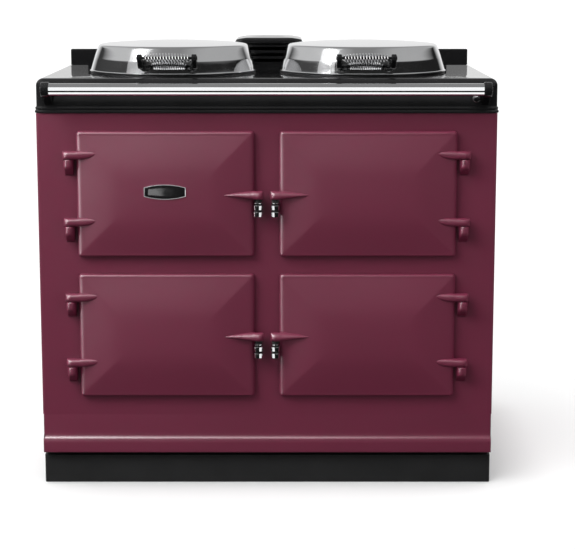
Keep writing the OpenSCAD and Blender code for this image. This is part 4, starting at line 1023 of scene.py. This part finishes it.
def studio_world():
    """Room round the object. The camera sees white. Reflections see a white backdrop, pale ground behind, a
    dark room in front up to a height, and a grey ceiling over it. The rest of the light gets a plain soft
    gradient."""
    world = bpy.data.worlds.new("studio_world")
    bpy.context.scene.world = world
    world.use_nodes = True
    tree = world.node_tree
    tree.nodes.clear()
    link = tree.links.new

    def new(kind):
        return tree.nodes.new("ShaderNode" + kind)

    ray, path, split = new("TexCoord"), new("LightPath"), new("SeparateXYZ")
    link(ray.outputs["Generated"], split.inputs[0])

    def ramped(socket, start, end, low=0.0, high=1.0):
        node = new("MapRange")
        for key, value in (("From Min", start), ("From Max", end), ("To Min", low), ("To Max", high)):
            node.inputs[key].default_value = value
        link(socket, node.inputs["Value"])
        return node.outputs[0]

    def span(axis, *levels):
        return ramped(split.outputs[axis], *levels)

    def maths(kind, *sockets):
        node = new("Math")
        node.operation = kind
        for socket, value in zip(node.inputs, sockets):
            link(value, socket)
        return node.outputs[0]

    def times(a, b):
        return maths("MULTIPLY", a, b)

    def blend(fac, a, b):
        node = new("Mix")
        link(fac, node.inputs["Factor"])
        for socket, value in (("A", a), ("B", b)):
            if isinstance(value, float):
                node.inputs[socket].default_value = value
            else:
                link(value, node.inputs[socket])
        return node.outputs[0]

    backdrop = times(span("Y", 0.72, 0.9, 0.0, 0.85), span("Z", -0.3, -0.02, 0.1, 1.0))
    ground = times(span("Y", -0.1, 0.3, 0.0, 0.62), span("Z", -0.08, -0.35))
    height = maths("ADD", split.outputs["Z"], span("Y", -1.0, 1.0, -0.19, 0.19))
    wings = maths("ADD", span("X", -0.2, -0.75, 0.0, 0.26), span("X", 0.2, 0.62, 0.24, 0.4))
    ceiling = times(ramped(height, 0.36, 0.43), wings)
    left = times(span("X", -0.3, -0.95, 0.015, 0.06), span("Z", -0.4, 0.1, 0.2, 1.0))
    aside = maths("ABSOLUTE", split.outputs["X"])
    window = times(ramped(aside, 0.35, 0.55, 0.0, 0.42), span("Y", -0.05, -0.3))
    sill = times(span("Z", 0.0, 0.06), span("Z", 0.33, 0.28))
    window = times(window, sill)
    sides = maths("ADD", left, window)
    room = maths("MAXIMUM", maths("MAXIMUM", backdrop, ground), maths("ADD", ceiling, sides))
    mirror = maths("MAXIMUM", path.outputs["Is Glossy Ray"], path.outputs["Is Transmission Ray"])
    level = blend(mirror, span("Z", -0.5, 0.9, 0.39, 0.71), room)
    seen = blend(path.outputs["Is Camera Ray"], level, 1.0)
    back, out = new("Background"), new("OutputWorld")
    back.inputs["Color"].default_value = (1, 1, 1, 1)
    link(seen, back.inputs["Strength"])
    link(back.outputs[0], out.inputs["Surface"])


def named(name, objects):
    """Collection of the named objects, for a light's lists."""
    group = bpy.data.collections.new(name)
    for object_name in objects:
        group.objects.link(bpy.data.objects[object_name])
    return group


def lamp(name, energy, place, target, size, only=None, shade=None, rays="all"):
    """A light that looks from a place to a target: a card of a width and a height in metres, or a sun of an
    angle in degrees. With only, it lights just the named objects. With shade, just the named objects stand in
    its way. It may be left out of either the diffuse or the glossy light."""
    sun = np.isscalar(size)
    data = bpy.data.lights.new(name, "SUN" if sun else "AREA")
    data.energy = energy
    if sun:
        data.angle = math.radians(size)
    else:
        data.shape = "RECTANGLE"
        data.size, data.size_y = size
    obj = stand(name, data)
    obj.location = place
    obj.rotation_euler = (Vector(target) - Vector(place)).to_track_quat("-Z", "Y").to_euler()
    obj.visible_camera = False
    obj.visible_diffuse = rays != "glossy"
    obj.visible_glossy = rays != "diffuse"
    if only:
        obj.light_linking.receiver_collection = named(name, only)
    if shade:
        obj.light_linking.blocker_collection = named(name + "_shade", shade)


def camera():
    """Camera in front of the cooker, a little to its right, looking down on it. Its focal length is kept in
    pixels of a picture of the photo's width."""
    focal, width, sensor, tilt, shift = 1596.0, 575, 36, 8.916, -0.10
    data = bpy.data.cameras.new("camera")
    data.sensor_width = sensor
    data.lens = focal * sensor / width
    data.shift_y = shift
    data.clip_end = 100
    obj = stand("camera", data)
    obj.location = (0.0444, (Y_FRONT - 3400) * MM, 1.1262)
    obj.rotation_euler = (math.radians(90 - tilt), 0, 0)
    bpy.context.scene.camera = obj


PIECES = [obj.name for obj in bpy.data.objects if obj.type == "MESH"]
floor()
studio_world()
CASTINGS = [f"door_casting_{row}_{side}" for row in ROWS for _, side in HANDS]
CAST_PARTS = [*CASTINGS, "hinge_bracket_set"]
COILS = [f"coil_handle_{side}" for _, side in HANDS]
LIDS = [f"lid_dome_{side}" for _, side in HANDS]
OTHERS = [name for name in PIECES if name not in CASTINGS]
UNBANDED = [name for name in PIECES if not name.startswith("latch_handle")]
BADGE, PLATE, TUBE = ["badge_plain_plate"], ["top_plate_casting"], ["towel_rail_tube"]
ORIGIN, MIDDLE = (0, 0, 0), (0, -0.3, 0.5)
KEY_AT, KEY_TO = (-2.47, -1.96, 3.3), (0, -0.2, 0.5)
LID_AT, LID_TO = (-2.55, -1.9, 3.2), (0, -0.2, 0.9)
# Each row: name, energy, place, target, size, only, shade, rays
for row in (
    ("key", 125, KEY_AT, KEY_TO, (3.4, 3.0), PIECES, None, "diffuse"),
    ("key_wash", 130, KEY_AT, KEY_TO, (3.4, 3.0), PIECES, OTHERS, "diffuse"),
    ("floor_key", 1.2, (-2.2, -1.76, 2.84), ORIGIN, 60, ["studio_floor"]),
    ("key_gloss", 300, KEY_AT, KEY_TO, (1.25, 1.7), UNBANDED, None, "glossy"),
    ("rim_gloss", 54, (-2.34, -1.34, 0.9), MIDDLE, (0.9, 2.2), CAST_PARTS, None, "glossy"),
    ("top_gloss", 34, (-0.9, -0.95, 2.5), MIDDLE, (1.9, 1.2), CAST_PARTS, BADGE, "glossy"),
    ("skirt_gloss", 60, (-0.3, -1.0, 2.6), (0, -0.3, 0.1), (2.4, 1.2), ["skirt_moulding"], BADGE, "glossy"),
    ("overhead", 1.4, (-0.2, -0.1, 3.6), ORIGIN, 15, None, None, "diffuse"),
    ("left_glow", 4, (-1.1, -0.85, 1.2), (-0.4, -0.3, 0.7), (0.3, 0.5), PIECES, None, "diffuse"),
    ("right_fill", 30, (2.6, 0.3, 1.4), (0.45, 0.1, 0.5), (1.5, 1.5), PIECES, None, "diffuse"),
    ("front_fill", 22, (2.2, -2.6, 1.5), (0.3, -0.3, 0.5), (1.8, 1.8), PIECES, None, "diffuse"),
    ("lid_card", 7, LID_AT, LID_TO, (0.9, 1.2), LIDS),
    ("lid_glow", 4.2, LID_AT, LID_TO, (1.7, 2.0), LIDS),
    ("rail_card", 8, (0, -1.35, 1.17), (0, RAIL[0] * MM, 1.1), (1.8, 1.3), TUBE),
    ("rail_tray", 4, (0, -0.62, 0.2), (0, -0.6, 0.9), (1.8, 0.6), TUBE),
    ("coil_card", 15, (-0.3, -1.35, 1.1), (0, -0.27, 0.93), (1.8, 1.6), COILS),
    *((f"handle_card_{word}", 3.5, (side * -0.72, -0.9, 0.3), (0, -0.31, 0.48), (1.1, 1.0),
       [f"latch_handle_{row}_{word}" for row in ROWS], BADGE) for side, word in HANDS),
    ("badge_rim_card", 4, (0, -0.95, 0.3), (0, -0.4, 0.3), (1.7, 0.66), ["badge_rim_band"]),
    ("badge_card", 2.5, (-0.65, -3.3, 0.235), (-0.217, -0.3, 0.65), (0.35, 0.6), BADGE),
    ("apron_card", 1.5, (0, -3.3, 0.42), (0, -0.3, 0.85), (2.6, 0.5), PLATE),
    ("plate_card_left", 0.02, (-0.65, 1, 1), (-0.45, 0, 0.9), (0.22, 0.3), PLATE, LIDS),
    ("plate_card_right", 0.04, (0.62, 1, 1), (0.45, 0, 0.9), (0.22, 0.3), PLATE, LIDS),
):
    lamp(*row)
camera()
bpy.context.scene.view_settings.view_transform = "Standard"
